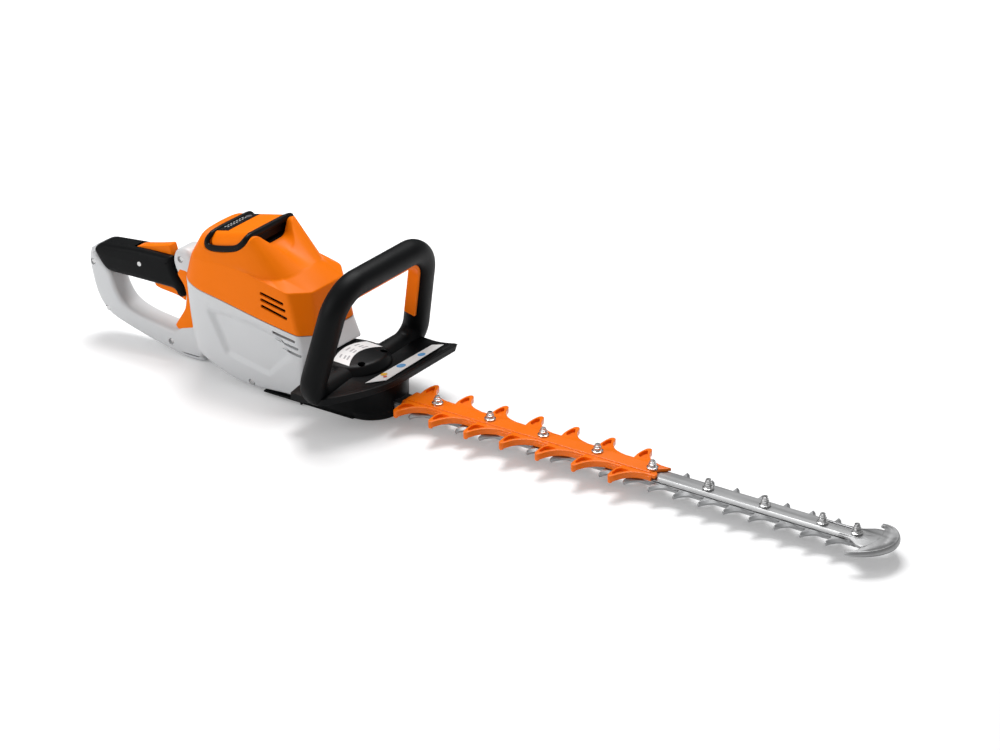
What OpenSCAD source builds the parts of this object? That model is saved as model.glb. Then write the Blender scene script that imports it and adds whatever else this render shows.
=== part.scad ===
// Battery hedge trimmer with a double-sided reciprocating blade.
// Frame: +X towards the blade tip, +Z up. The origin lies on the resting plane,
// straight below the crank shaft. All sizes are in millimetres.

/* [Cutter] */
// Distance between neighbouring teeth
tooth_pitch = 33; // [30:0.5:36]
// Number of teeth along the near edge of one blade
tooth_count = 18; // [10:1:20]
// Distance from the crank shaft to the first near tooth
first_tooth = 92.5; // [88:0.5:100]
// Reach of a tooth from the middle of the blade
tooth_reach = 29.6; // [25:0.1:36]
// Half width of the blade between its teeth
blade_half = 13; // [11:0.5:15]
// Thickness of one blade
blade_t = 3; // [2:0.1:4]
// Height of the upper blade's top face above the resting plane
blade_top = 22; // [20:0.5:24]
// Travel of each blade to either side of its middle place
half_stroke = 8.25; // [4:0.25:9]
// Height of the guide rail
rail_h = 3.6; // [3:0.1:5]
// Half width of the guide rail
rail_half = 12.5; // [10:0.5:14]
// Radius of the round nose of the tip shoe
shoe_r = 44; // [36:1:50]

/* [Blade bolts] */
// Distance between neighbouring blade bolts, in tooth pitches
bolt_step = 2.25; // [2:0.25:3]
// Diameter of a blade bolt
bolt_d = 6; // [4:0.5:7]
// Width across the flats of a blade nut
nut_af = 10; // [8:0.5:12]
// Height of one blade nut
nut_h = 4; // [3:0.5:5]

/* [Tooth guard] */
// Number of finger pairs on the guard
finger_count = 7; // [3:1:8]
// Distance between guard fingers, in tooth pitches
finger_step = 1.5; // [1.25:0.25:2]
// Reach of a guard finger from the middle of the blade
finger_reach = 43.7; // [36:0.1:50]
// Height of the guard's middle band
guard_h = 5; // [4:0.5:7]

/* [Gearbox] */
// Radius of the round nose of the gear base
nose_r = 44; // [40:1:50]
// Height of the gear base
gear_base_h = 50; // [46:1:56]
// Wall of the gear base
gear_wall = 4; // [3:0.5:6]
// Module of the gear teeth
gear_module = 1; // [0.8:0.1:1.2]
// Teeth of the motor pinion
pinion_teeth = 16; // [14:1:20]
// Teeth of the idler's large gear
idler_teeth = 52; // [46:1:56]
// Teeth of the idler's small gear
idler_pinion_teeth = 28; // [24:1:32]
// Teeth of the crank gear
crank_teeth = 48; // [42:1:52]
// Diameter of the crank shaft
crank_d = 12; // [8:1:14]
// Diameter of the two crank pins
crank_pin_d = 8; // [6:0.5:9]

/* [Motor] */
// Outer diameter of the motor can
motor_d = 50; // [40:1:52]
// Length of the motor can
motor_len = 50; // [36:1:54]
// Diameter of the motor shaft
motor_shaft_d = 6; // [5:0.5:8]

/* [Housing] */
// Half width of the housing at the seam between body and hood
body_half = 54; // [50:1:60]
// Wall of the housing and hood
wall = 3; // [2:0.25:3.5]
// Height of the hood's front edge
shelf_z = 143.5; // [135:0.5:150]
// Gap along a seam between two mouldings
seam = 0.3; // [0.1:0.05:0.5]
// Number of cooling slots in each row
slot_count = 3; // [1:1:4]

/* [Battery] */
// Width of the battery case
battery_w = 80; // [70:1:84]
// Thickness of the battery case
battery_t = 54; // [44:1:56]
// Length of the battery case below its cap
battery_len = 92; // [70:1:96]
// Lean of the battery towards the rear, in degrees
battery_lean = 12.4; // [8:0.2:15]
// Height of the middle of the battery's top face
battery_z = 194; // [188:1:200]
// Gap between the battery and its bay
battery_gap = 0.6; // [0.3:0.1:1.5]

/* [Rear handle] */
// Half width of the rear handle
grip_half = 17; // [14:0.5:20]
// Wall of the grip
grip_wall = 5; // [3:0.5:6]
// Swing of the trigger, in degrees
trigger_swing = 7; // [4:0.5:8]
// Swing of the lockout lever, in degrees
lockout_swing = 6; // [4:0.5:7]
// Diameter of the lever pins
lever_pin_d = 4; // [3:0.5:5]

/* [Front handle] */
// Radius of the front handle's tube
tube_r = 15.5; // [13:0.5:18]
// Half width of the tube's middle line at the top corners
loop_top_half = 84; // [70:1:95]
// Half width of the tube's middle line at its foot
loop_foot_half = 107; // [90:1:115]
// Length of the legs along their lean
loop_h = 157; // [130:1:175]
// Lean of the loop towards the blade, in degrees
loop_lean = 12.6; // [6:0.2:16]
// Bend radius of the top corners
loop_corner_r = 40; // [32:1:46]
// Travel of the switch bar into the tube
bar_travel = 3; // [1:0.5:4]
// Half width of the hand shield at its front edge
shield_half = 92; // [80:1:98]

/* [Hidden] */
$fn = 48;
eps = 0.01;
big = 1000;
// Running clearance of a shaft in its bearing
run = 0.05;
// Gap between parts that slide or swing past each other
slip = 0.4;

orange = "darkorange";
white = "gainsboro";
black = "#202124";
steel = "silver";

// Cutter heights and lengths
upper_z = blade_top - blade_t;
blade_gap = 0.3;
lower_z = upper_z - blade_gap - blade_t;
rail_z = blade_top + blade_gap;
rail_top = rail_z + rail_h;
rail_start = 34;
last_tooth = first_tooth + (tooth_count - 1) * tooth_pitch;
rail_end = last_tooth + 26;
blade_end = rail_end - half_stroke - slip;
bolt_first = first_tooth + 16.4;
bolt_pitch = bolt_step * tooth_pitch;
bolt_count = floor((last_tooth - 20 - bolt_first) / bolt_pitch) + 1;
bolt_x = [for (i = [0 : bolt_count - 1]) bolt_first + i * bolt_pitch];
end_bolt_x = last_tooth + 19;
guard_pitch = finger_step * tooth_pitch;
guard_first = first_tooth - 14;
guard_end = guard_first + (finger_count - 1) * guard_pitch + 46;
guard_top = rail_top + guard_h;
all_bolts = concat(bolt_x, [end_bolt_x]);
bush_d = bolt_d + 3;

function on_guard(x) = x < guard_end - 4;
function seat_z(x) = on_guard(x) ? guard_top : rail_top;

function flip(points) = [for (i = [len(points) - 1 : -1 : 0]) [points[i][0], -points[i][1]]];
// Outline of one tooth, pointing to +Y, with its tip at x = 0
function tooth(reach) = concat(
  [[-4.5, blade_half - 2], [16.5, blade_half - 2]],
  [for (a = [0 : 15 : 90]) [16.5 - 14 * sin(a), blade_half + (reach - 6 - blade_half) * (1 - cos(a))]],
  [[2.3, reach - 0.6], [-2.4, reach], [-3, blade_half + 5], [-4.5, blade_half + 1]]);

// Slot that lets the blade run along a bolt's bush
module bush_slot(x) {
  for (s = [-1, 1])
    translate([x + s * half_stroke, 0])
      circle(d = bush_d + 2 * slip);
  translate([x - half_stroke, -bush_d / 2 - slip])
    square([2 * half_stroke, bush_d + 2 * slip]);
}

module bush_slots() {
  for (x = all_bolts)
    bush_slot(x);
}

// Outline of one blade: spine, two rows of teeth and the yoke round the crank pins
yoke_x = 24;
yoke_y = 18;
window_x = crank_pin_d / 2 + 2 * half_stroke + slip + 0.2;
window_y = crank_pin_d / 2 + half_stroke + slip + 0.3;
module blade_plan() {
  difference() {
    union() {
      translate([yoke_x - 4, -blade_half])
        square([blade_end - yoke_x + 4, 2 * blade_half]);
      translate([-yoke_x, -yoke_y])
        square([2 * yoke_x, 2 * yoke_y]);
      for (i = [0 : tooth_count - 1])
        translate([first_tooth + i * tooth_pitch, 0])
          polygon(flip(tooth(tooth_reach)));
      for (i = [0 : tooth_count - 1])
        translate([first_tooth + (i + 0.5) * tooth_pitch, 0])
          if (first_tooth + (i + 0.5) * tooth_pitch < blade_end - 12)
            polygon(tooth(tooth_reach));
    }
    translate([-window_x, -window_y])
      square([2 * window_x, 2 * window_y]);
    bush_slots();
  }
}

module upper_blade() {
  color(steel)
    translate([0, 0, upper_z])
      linear_extrude(blade_t)
        blade_plan();
}

module lower_blade() {
  color("darkgray")
    translate([0, 0, lower_z])
      linear_extrude(blade_t)
        blade_plan();
}

module guide_rail() {
  color("lightgray")
    difference() {
      translate([rail_start, 0, rail_z])
        rotate([90, 0, 90])
          linear_extrude(rail_end - rail_start)
            polygon([[-rail_half, 0], [-rail_half, rail_h * 0.45], [-rail_half + 3, rail_h],
              [rail_half, rail_h], [rail_half, 0]]);
      for (x = all_bolts)
        translate([x, 0, rail_z - 1])
          cylinder(d = bolt_d, h = rail_h + 2);
    }
}

// Anchor-shaped shoe with a raised rim and swept-back horns
shoe_x = last_tooth + 24;
horn_x = shoe_x + 10;
shoe_h = 9;
shoe_z = rail_top - shoe_h + 0.6;
module shoe_plan(inset) {
  r = shoe_r - inset;
  difference() {
    translate([shoe_x, 0])
      circle(r);
    translate([shoe_x - big, -big])
      square([big + 2 + inset, 2 * big]);
    for (s = [-1, 1])
      translate([shoe_x - 3, s * (rail_half + 17)])
        circle(15.5 + inset);
  }
}
module tip_shoe() {
  color("lightgray")
    difference() {
      union() {
        translate([0, 0, shoe_z])
          linear_extrude(shoe_h)
            shoe_plan(0);
        translate([0, 0, shoe_z + shoe_h])
          linear_extrude(1.2)
            difference() {
              shoe_plan(0.8);
              shoe_plan(5);
            }
      }
      translate([shoe_x - 40, -rail_half - seam, rail_z - eps])
        cube([rail_end - shoe_x + 40, 2 * rail_half + 2 * seam, 20]);
    }
}

// One hooked guard finger, pointing to +Y, with its tip at x = 0
module finger(reach, root) {
  polygon(concat(
    [[-2, root - 3], [34, root - 3]],
    [for (a = [0 : 15 : 90]) [34 - 29 * sin(a), root + (reach - 7 - root) * (1 - cos(a))]],
    [[5, reach - 4], [1.5, reach + 0.5], [-2.5, reach], [-5.5, reach - 6]]));
}

band_half = 14.5;
module guard_plan() {
  difference() {
    translate([guard_first - 10, -band_half])
      square([guard_end - guard_first + 10, 2 * band_half]);
    translate([guard_end, 0])
      circle(r = 9);
  }
}

module tooth_guard() {
  color(orange)
    difference() {
      union() {
        translate([0, 0, rail_top])
          linear_extrude(guard_h)
            guard_plan();
        for (i = [0 : finger_count - 1], s = [0, 1])
          translate([guard_first + i * guard_pitch, 0, rail_z + 0.6])
            mirror([0, s, 0])
              linear_extrude(guard_h + 1.5)
                difference() {
                  finger(finger_reach, band_half);
                  translate([4, band_half + 6])
                    circle(r = 3.2, $fn = 16);
                }
      }
      translate([0, -rail_half - seam, 0])
        cube([big, 2 * rail_half + 2 * seam, rail_top]);
      for (x = bolt_x)
        translate([x, 0, rail_top - 1])
          cylinder(d = bolt_d, h = guard_h + 2);
    }
}

washer_h = 1.2;
// How much narrower the upper nut of a pair is
nut_step = 1.6;
head_h = 3;
module blade_bolts() {
  color(steel)
    for (x = all_bolts) {
      translate([x, 0, lower_z - blade_gap - head_h])
        cylinder(d = bolt_d + 7, h = head_h);
      translate([x, 0, lower_z - blade_gap])
        cylinder(d = bolt_d, h = seat_z(x) + washer_h + 2 * nut_h + 3 - lower_z + blade_gap);
    }
}

module blade_bushes() {
  color("dimgray")
    for (x = all_bolts)
      translate([x, 0, lower_z - blade_gap])
        difference() {
          cylinder(d = bush_d, h = rail_z - lower_z + blade_gap);
          translate([0, 0, -1])
            cylinder(d = bolt_d, h = 20);
        }
}

module blade_washers() {
  color(steel)
    for (x = all_bolts)
      translate([x, 0, seat_z(x)])
        difference() {
          cylinder(d = nut_af + 3, h = washer_h);
          translate([0, 0, -1])
            cylinder(d = bolt_d, h = 4);
        }
}

module blade_nuts() {
  color(steel)
    for (x = all_bolts, k = [0, 1])
      translate([x, 0, seat_z(x) + washer_h + k * nut_h])
        difference() {
          cylinder(d = (nut_af - k * nut_step) / cos(30), h = nut_h, $fn = 6);
          translate([0, 0, -1])
            cylinder(d = bolt_d, h = nut_h + 2);
        }
}

// Thin wire that lies on the rail between the last two bolts
wire_d = 1.2;
module wire_clip() {
  x0 = bolt_x[bolt_count - 1];
  y = nut_af / 2 + 1.5 + wire_d / 2 + 0.1;
  color(black)
    translate([x0 - 2, y, rail_top + wire_d / 2])
      rotate([0, 90, 0])
        cylinder(d = wire_d, h = end_bolt_x - x0 + 4, $fn = 16);
}

// Gearbox
nose_x = 14;
base_rear = -58;
base_tail = -92;
tail_half = 38;
skirt_rear = -113;
skirt_half = 43;
floor_t = 4;
pinion_r = pinion_teeth * gear_module / 2;
idler_r = idler_teeth * gear_module / 2;
idler_pinion_r = idler_pinion_teeth * gear_module / 2;
crank_r = crank_teeth * gear_module / 2;
idler_x = -(crank_r + idler_pinion_r);
motor_x = idler_x - (idler_r + pinion_r);
crank_gear_z = gear_base_h - 22;
gear_face = 8;
idler_gear_z = crank_gear_z + gear_face + 2;
idler_face = 6;
idler_collar_r = 5;

module base_plan(inset) {
  union() {
    translate([nose_x, 0])
      circle(r = nose_r - inset, $fn = 96);
    translate([base_rear + inset, -nose_r + inset])
      square([nose_x - base_rear - inset, 2 * (nose_r - inset)]);
    translate([base_tail + inset, -tail_half + inset])
      square([nose_x - base_tail, 2 * (tail_half - inset)]);
  }
}

module gear_base() {
  color(black)
    difference() {
      union() {
        translate([nose_x, 0, 0])
          cylinder(r1 = nose_r - 9, r2 = nose_r, h = 14, $fn = 96);
        translate([nose_x, 0, 14])
          cylinder(r = nose_r, h = gear_base_h - 14, $fn = 96);
        translate([base_rear, 0, 0])
          rotate([90, 0, 90])
            linear_extrude(nose_x - base_rear)
              polygon([[-nose_r + 9, 0], [-nose_r, 14], [-nose_r, gear_base_h], [nose_r, gear_base_h],
                [nose_r, 14], [nose_r - 9, 0]]);
        translate([base_tail, -tail_half, 0])
          cube([nose_x - base_tail, 2 * tail_half, gear_base_h]);
        translate([skirt_rear, -skirt_half, 1])
          cube([base_rear - skirt_rear + 1, 2 * skirt_half, 5]);
      }
      difference() {
        translate([0, 0, floor_t])
          linear_extrude(gear_base_h)
            base_plan(gear_wall);
        translate([0, 0, 0])
          difference() {
            cylinder(r = big, h = 14);
            translate([nose_x, 0, -1])
              cylinder(r = nose_r - gear_wall - 5, h = 20);
            translate([-big + nose_x, -nose_r + gear_wall + 5, -1])
              cube([big, 2 * (nose_r - gear_wall - 5), 20]);
          }
        translate([idler_x, 0, 0])
          cylinder(r = 8, h = lower_z - 2);
      }
      translate([idler_x, 0, floor_t])
        cylinder(r = 4, h = gear_base_h);
      translate([20, -blade_half - 1.5, lower_z - 4.5])
        cube([80, 2 * blade_half + 3, rail_top - lower_z + 4.5]);
      for (s = [-1, 1], x = base_screw_x)
        translate([x, s * base_screw_y, floor_t + 6])
          cylinder(d = screw_d, h = gear_base_h);
    }
}

screw_d = 4;
base_screw_x = [16];
base_screw_y = 22;
plate_t = 4;
plate_z = gear_base_h;
bearing_od = crank_d + 12;
bearing_h = 7;
module gear_plate() {
  color("lightgray")
    difference() {
      union() {
        translate([0, 0, plate_z])
          linear_extrude(plate_t)
            difference() {
              base_plan(0.5);
              translate([34, -nose_r])
                square(2 * nose_r);
              for (s = [-1, 1])
                translate([base_tail, s * (tail_half + nose_r / 2) - nose_r / 2])
                  square([hump_rear - base_tail + 1, nose_r]);
            }
        translate([0, 0, plate_z])
          cylinder(d = bearing_od + 7, h = bearing_h + 1.5);
      }
      translate([0, 0, plate_z - 1])
        cylinder(d = crank_d + 4, h = 20);
      translate([0, 0, plate_z - eps])
        cylinder(d = bearing_od, h = bearing_h + eps);
      translate([idler_x, 0, plate_z - 1])
        cylinder(r = 4, h = 20);
      translate([motor_x, 0, plate_z - 1])
        cylinder(r = pinion_r + 3, h = 20);
      for (s = [-1, 1], x = base_screw_x)
        translate([x, s * base_screw_y, plate_z - 1])
          cylinder(d = screw_d, h = plate_t + 2);
    }
}

// Spur gear with straight-flanked teeth; a tooth lies on +X when turned by 0
module gear_plan(n, thick) {
  m = gear_module;
  r = n * m / 2;
  root = r - 1.25 * m;
  tip = r + 0.85 * m;
  half = 90 / n * thick;
  union() {
    circle(r = root, $fn = 96);
    for (i = [0 : n - 1])
      rotate(i * 360 / n)
        polygon([[root - 0.5, -(root) * sin(half * 1.5)], [tip, -tip * sin(half * 0.42)],
          [tip, tip * sin(half * 0.42)], [root - 0.5, root * sin(half * 1.5)]]);
  }
}

module crank_gear() {
  color(steel) {
    translate([0, 0, crank_gear_z])
      linear_extrude(gear_face)
        gear_plan(crank_teeth, 0.8);
    translate([0, 0, crank_gear_z])
      cylinder(d = crank_d, h = plate_z + bearing_h - crank_gear_z - 0.5);
    translate([half_stroke, 0, upper_z])
      cylinder(d = crank_pin_d, h = crank_gear_z - upper_z + 1);
    translate([-half_stroke, 0, lower_z])
      cylinder(d = crank_pin_d, h = crank_gear_z - lower_z + 1);
  }
}

module idler_gear() {
  color(steel)
    difference() {
      union() {
        translate([idler_x, 0, idler_gear_z])
          linear_extrude(idler_face)
            gear_plan(idler_teeth, 0.8);
        translate([idler_x, 0, crank_gear_z])
          linear_extrude(idler_gear_z - crank_gear_z + 1)
            rotate(idler_mesh)
              gear_plan(idler_pinion_teeth, 0.8);
      }
      translate([idler_x, 0, 0])
        cylinder(r = 4 + run, h = 90);
    }
}
// Turn that puts a gap of the idler's small gear on the crank gear's tooth
idler_mesh = 180 / idler_pinion_teeth;
pinion_mesh = idler_teeth % 2 == 0 ? 180 / pinion_teeth : 0;

module idler_pin() {
  color(steel) {
    translate([idler_x, 0, floor_t])
      cylinder(r = 4, h = plate_z + plate_t - floor_t);
    translate([idler_x, 0, lower_z - 2])
      cylinder(r = idler_collar_r, h = crank_gear_z - lower_z + 2 - 0.2);
  }
}

module gearbox_bearings() {
  color("dimgray")
    translate([0, 0, plate_z])
      difference() {
        cylinder(d = bearing_od, h = bearing_h);
        translate([0, 0, -1])
          cylinder(d = crank_d + 2 * run, h = 20);
      }
}

// Motor
motor_z = plate_z + plate_t;
cap_t = 3;
fan_h = 9;
motor_top = motor_z + motor_len;
shaft_top = motor_top + fan_h + 3;
module motor_can() {
  color("dimgray")
    translate([motor_x, 0, motor_z])
      difference() {
        cylinder(d = motor_d, h = motor_len - cap_t);
        translate([0, 0, cap_t])
          cylinder(d = motor_d - 4, h = motor_len);
        translate([0, 0, -1])
          cylinder(r = pinion_r + 3, h = 2 * cap_t);
      }
}

module motor_cap() {
  color("darkgray")
    translate([motor_x, 0, motor_top - cap_t])
      difference() {
        cylinder(d = motor_d, h = cap_t);
        translate([0, 0, -1])
          cylinder(d = motor_shaft_d + 8, h = 3 * cap_t);
      }
}

module motor_bearings() {
  color(steel) {
    translate([motor_x, 0, motor_z])
      difference() {
        cylinder(r = pinion_r + 3, h = cap_t);
        translate([0, 0, -1])
          cylinder(d = motor_shaft_d + 2 * run, h = 3 * cap_t);
      }
    translate([motor_x, 0, motor_top - cap_t])
      difference() {
        cylinder(d = motor_shaft_d + 8, h = cap_t);
        translate([0, 0, -1])
          cylinder(d = motor_shaft_d + 2 * run, h = 3 * cap_t);
      }
  }
}

module motor_shaft() {
  color(steel)
    translate([motor_x, 0, idler_gear_z - 1])
      cylinder(d = motor_shaft_d, h = shaft_top - idler_gear_z + 1);
}

module motor_pinion() {
  color("darkgray")
    translate([motor_x, 0, idler_gear_z - 0.5])
      difference() {
        linear_extrude(idler_face + 1)
          rotate(pinion_mesh)
            gear_plan(pinion_teeth, 0.8);
        translate([0, 0, -1])
          cylinder(d = motor_shaft_d, h = 20);
      }
}

magnet_r = motor_d / 2 - 12;
module motor_magnets() {
  color("slategray")
    translate([motor_x, 0, motor_z + cap_t + 5])
      difference() {
        cylinder(r = magnet_r, h = motor_len - 2 * cap_t - 10);
        translate([0, 0, -1])
          cylinder(d = motor_shaft_d, h = 90);
      }
}

module motor_windings() {
  color("peru")
    translate([motor_x, 0, motor_z + cap_t])
      difference() {
        cylinder(d = motor_d - 4, h = motor_len - 2 * cap_t);
        translate([0, 0, -1])
          cylinder(r = magnet_r + 0.6, h = 90);
      }
}

module cooling_fan() {
  color(black)
    translate([motor_x, 0, motor_top + 1])
      difference() {
        union() {
          cylinder(d = motor_shaft_d + 8, h = fan_h);
          cylinder(d = motor_d - 6, h = 1.5);
          for (a = [0 : 40 : 320])
            rotate(a)
              translate([motor_shaft_d / 2 + 2, -0.8, 0])
                cube([motor_d / 2 - 9, 1.6, fan_h]);
        }
        translate([0, 0, -1])
          cylinder(d = motor_shaft_d, h = 30);
      }
}

// Housing blocks. Each plan runs from the rear to the front face, with cut front corners.
module plan(rear, chamfer, front, half, nose) {
  polygon([[rear, -half + 20], [rear + 3, -half + 9], [rear + 12, -half + 2], [rear + 24, -half],
    [chamfer, -half], [front, -nose], [front, nose], [chamfer, half],
    [rear + 24, half], [rear + 12, half - 2], [rear + 3, half - 9], [rear, half - 20]]);
}
module slab(z, rear, chamfer, front, half, nose, i) {
  translate([0, 0, z])
    linear_extrude(eps)
      plan(rear + i, chamfer - i * 0.4, front - i, half - i, nose);
}
seam_z = 93;
rear_x = -212;
// Height at which the body reaches furthest forward
ledge_z = 70;
module lower_block(i) {
  hull() {
    slab(8 + i, rear_x + 14, -66, -48, body_half - 11, 28, i);
    slab(ledge_z, rear_x + 3, -50, -22, body_half - 2, 34, i);
  }
  hull() {
    slab(ledge_z, rear_x + 3, -50, -22, body_half - 2, 34, i);
    slab(seam_z, rear_x, -53, -37, body_half, 36, i);
  }
}
module skirt_block(i) {
  hull() {
    slab(seam_z, rear_x, -53, -37, body_half, 36, i);
    slab(shelf_z - i * 0.6, rear_x + 1, -71, -48, body_half, 30, i);
  }
}
module shelf_block(i) {
  hull() {
    slab(shelf_z - i * 0.6, rear_x + 1, -71, -48, body_half, 30, i);
    slab(shelf_z + 16 - i, rear_x + 5, -76, -53, body_half - 5, 26, i);
    slab(shelf_z + 26 - i, rear_x + 30, -84, -64, body_half - 14, 22, i);
  }
}

// Battery frame: its origin is the middle of the top face, -Z runs down the bay
battery_x = -161;
module in_bay() {
  translate([battery_x, 0, battery_z])
    rotate([0, -battery_lean, 0])
      children();
}
cap_low = -22;
cap_half = 47;
cap_rear = -31;
cap_front = 28;
bay_half = battery_w / 2 + battery_gap;
bay_thick = battery_t / 2 + battery_gap;
bay_wall = 2.4;

module tower(i) {
  hull() {
    slab(shelf_z + 12 - i, rear_x + 4, -80, -66, body_half - 4, 24, i);
    in_bay()
      translate([cap_rear - 2 + i, -cap_half - 2 + i, cap_low - 1.6 - i])
        cube([cap_front - cap_rear + 4, 2 * cap_half + 4 - 2 * i, eps]);
  }
  hull() {
    slab(shelf_z + 20 - i, rear_x + 60, -88, -64, body_half - 9, 24, i);
    in_bay()
      translate([cap_front + 1.6, -39 + i, -i])
        cube([9 - i, 78 - 2 * i, eps]);
    in_bay()
      translate([cap_front + 1.6, -45 + i, cap_low])
        cube([9 - i, 90 - 2 * i, eps]);
  }
}

// Everything above the seam between body and hood
module above_seam(g) {
  rotate([90, 0, 0])
    translate([0, 0, -big / 2])
      linear_extrude(big)
        polygon([[-big, 126 + g], [-230, 124 + g], [-196, 116 + g], [-118, 98 + g], [-53, seam_z + g],
          [20, seam_z + g], [20, big], [-big, big]]);
}

module slot_row(x, z, step, len, tilt) {
  for (k = [0 : slot_count - 1], s = [-1, 1])
    translate([x + 1.5 * k, s * body_half, z - k * step])
      rotate([0, tilt, 0])
        cube([len, 30, 2.6], center = true);
}

module hood() {
  color(orange)
    difference() {
      union() {
        skirt_block(0);
        shelf_block(0);
        tower(0);
      }
      skirt_block(wall);
      shelf_block(wall);
      tower(wall);
      difference() {
        translate([-big, -big, -1])
          cube([2 * big, 2 * big, 400]);
        above_seam(seam / 2);
      }
      // Opening that the battery goes through
      in_bay()
        translate([-bay_thick - bay_wall - seam, -bay_half - bay_wall - seam, -60])
          cube([2 * (bay_thick + bay_wall + seam), 2 * (bay_half + bay_wall + seam), 90]);
      // Room for the cap
      in_bay()
        translate([cap_rear - 6, -60, cap_low - 0.8])
          cube([cap_front - cap_rear + 6 + 1.2, 120, 60]);
      // Finger scoop in front of the cap
      in_bay()
        translate([cap_front - 2, 0, 0])
          rotate([90, 0, 90])
            linear_extrude(60)
              polygon([[-31, 4], [-10, -34], [8, -34], [27, 4]]);
      slot_row(-96, 124, 8, 27, 10);
    }
}

// Room that the gear base and the front handle's hump take in the housing
hump_front = 24;
hump_rear = -41;
hump_half = 42;
hump_top = 68;
module gearbox_room() {
  translate([base_rear - seam, -nose_r - 30, 0])
    cube([100, 2 * nose_r + 60, gear_base_h + seam]);
  translate([base_tail - seam, -tail_half - seam, 0])
    cube([200, 2 * (tail_half + seam), gear_base_h + plate_t + seam]);
  translate([hump_rear - seam, -80, 0])
    cube([100, 160, hump_top + seam]);
  translate([skirt_rear - seam, -80, 0])
    cube([200, 160, 6 + seam]);
}

module neck_room() {
  translate([rear_x - 100, -80, 0])
    cube([100 + neck_front - rear_x, 160, 140]);
}
neck_front = -204;

module body_shell() {
  difference() {
    union() {
      lower_block(0);
      skirt_block(0);
    }
    lower_block(wall);
    skirt_block(wall);
    above_seam(-seam / 2);
    gearbox_room();
    neck_room();
    slot_row(-80, 83, 9, 22, 10);
    for (s = [-1, 1], p = body_screw)
      translate([p[0], s * (body_half - 9), p[1]])
        rotate([90, 0, 0])
          cylinder(d = 7, h = 20, center = true);
  }
}
// Side screws of the body: [x, z]
body_screw = [[-143, 18]];

module body_shell_right() {
  color(white)
    intersection() {
      body_shell();
      translate([-big, -big, -big])
        cube([2 * big, big - seam / 2, 2 * big]);
    }
}
module body_shell_left() {
  color(white)
    intersection() {
      body_shell();
      translate([-big, seam / 2, -big])
        cube([2 * big, big, 2 * big]);
    }
}

bay_len = 24 + battery_len + 2;
bay_floor = 4;
module battery_bay() {
  color(black)
    in_bay()
      difference() {
        translate([-bay_thick - bay_wall, -bay_half - bay_wall, -bay_len - bay_floor])
          cube([2 * (bay_thick + bay_wall), 2 * (bay_half + bay_wall), bay_len + bay_floor + cap_low - 2]);
        translate([-bay_thick, -bay_half, -bay_len])
          cube([2 * bay_thick, 2 * bay_half, 2 * bay_len]);
        translate([-16, -25, -bay_len - bay_floor - 1])
          cube([32, 50, bay_floor + 2]);
      }
}

// Block with two upright contact blades that enter the battery's slots
contact_h = 14;
module contact_block() {
  color("darkslategray")
    in_bay() {
      translate([-16, -25, -bay_len - bay_floor])
        cube([32, 50, bay_floor]);
      for (y = [-16, -5, 5, 16])
        translate([-8, y - 0.5, -bay_len])
          cube([16, 1, contact_h]);
    }
}

module battery_case() {
  color(black)
    in_bay()
      difference() {
        translate([-battery_t / 2, -battery_w / 2, cap_low - battery_len])
          cube([battery_t, battery_w, battery_len]);
        for (y = [-16, -5, 5, 16])
          translate([-10, y - 1.2, cap_low - battery_len - 1])
            cube([20, 2.4, contact_h + 2]);
      }
}

rim_h = 7;
// Section of the cap across the machine: flat middle, sloping ends
module cap_section(inset) {
  polygon([[-cap_half + inset, cap_low + rim_h], [-cap_half + inset, -13], [-34, 0], [34, 0],
    [cap_half - inset, -13], [cap_half - inset, cap_low + rim_h]]);
}
module battery_cap() {
  color(orange)
    in_bay()
      difference() {
        translate([cap_rear + 2, 0, 0])
          rotate([90, 0, 90])
            linear_extrude(cap_front - cap_rear - 4)
              cap_section(1.5);
        panel_room(0);
      }
}
panel_rear = cap_rear + 5;
module panel_room(g) {
  translate([panel_rear - g, -30 - g, -2])
    cube([17 + 2 * g, 60 + 2 * g, 3]);
}
module charge_panel() {
  color(black)
    in_bay()
      difference() {
        translate([panel_rear, -30, -2])
          cube([17, 60, 2.4]);
        translate([panel_rear + 8.5, 20, -5])
          cylinder(d = 8 + 2 * slip, h = 10);
      }
}
module charge_button() {
  color("gray")
    in_bay()
      translate([panel_rear + 8.5, 20, -0.8])
        cylinder(d = 8, h = 1.8);
}
latch_len = 22;
module battery_rim() {
  color("#2c2e31")
    in_bay()
      difference() {
        translate([cap_rear, -cap_half, cap_low])
          cube([cap_front - cap_rear, 2 * cap_half, rim_h]);
        for (s = [-1, 1])
          translate([-2, s * cap_half, cap_low + rim_h / 2])
            cube([latch_len + 2 * slip, 12, 4.6], center = true);
      }
}
module latch() {
  in_bay()
    translate([-latch_len / 2 - 2, -cap_half + 0.2, cap_low + rim_h / 2 - 1.9])
      cube([latch_len, 3.4, 3.8]);
}
module latch_right() {
  color(orange)
    latch();
}
module latch_left() {
  color(orange)
    mirror([0, 1, 0])
      latch();
}

module control_board() {
  color("darkgreen")
    translate([-196, -30, 30])
      cube([60, 60, 1.6]);
  color(black)
    translate([-190, -24, 31.6])
      cube([20, 14, 12]);
  color(black)
    translate([-166, -24, 31.6])
      cube([20, 40, 6]);
  color("dimgray")
    for (x = [-192, -141], y = [-26, 26])
      translate([x, y, 8 + wall])
        cylinder(d = 5, h = 19 - wall + 3);
}

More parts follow.
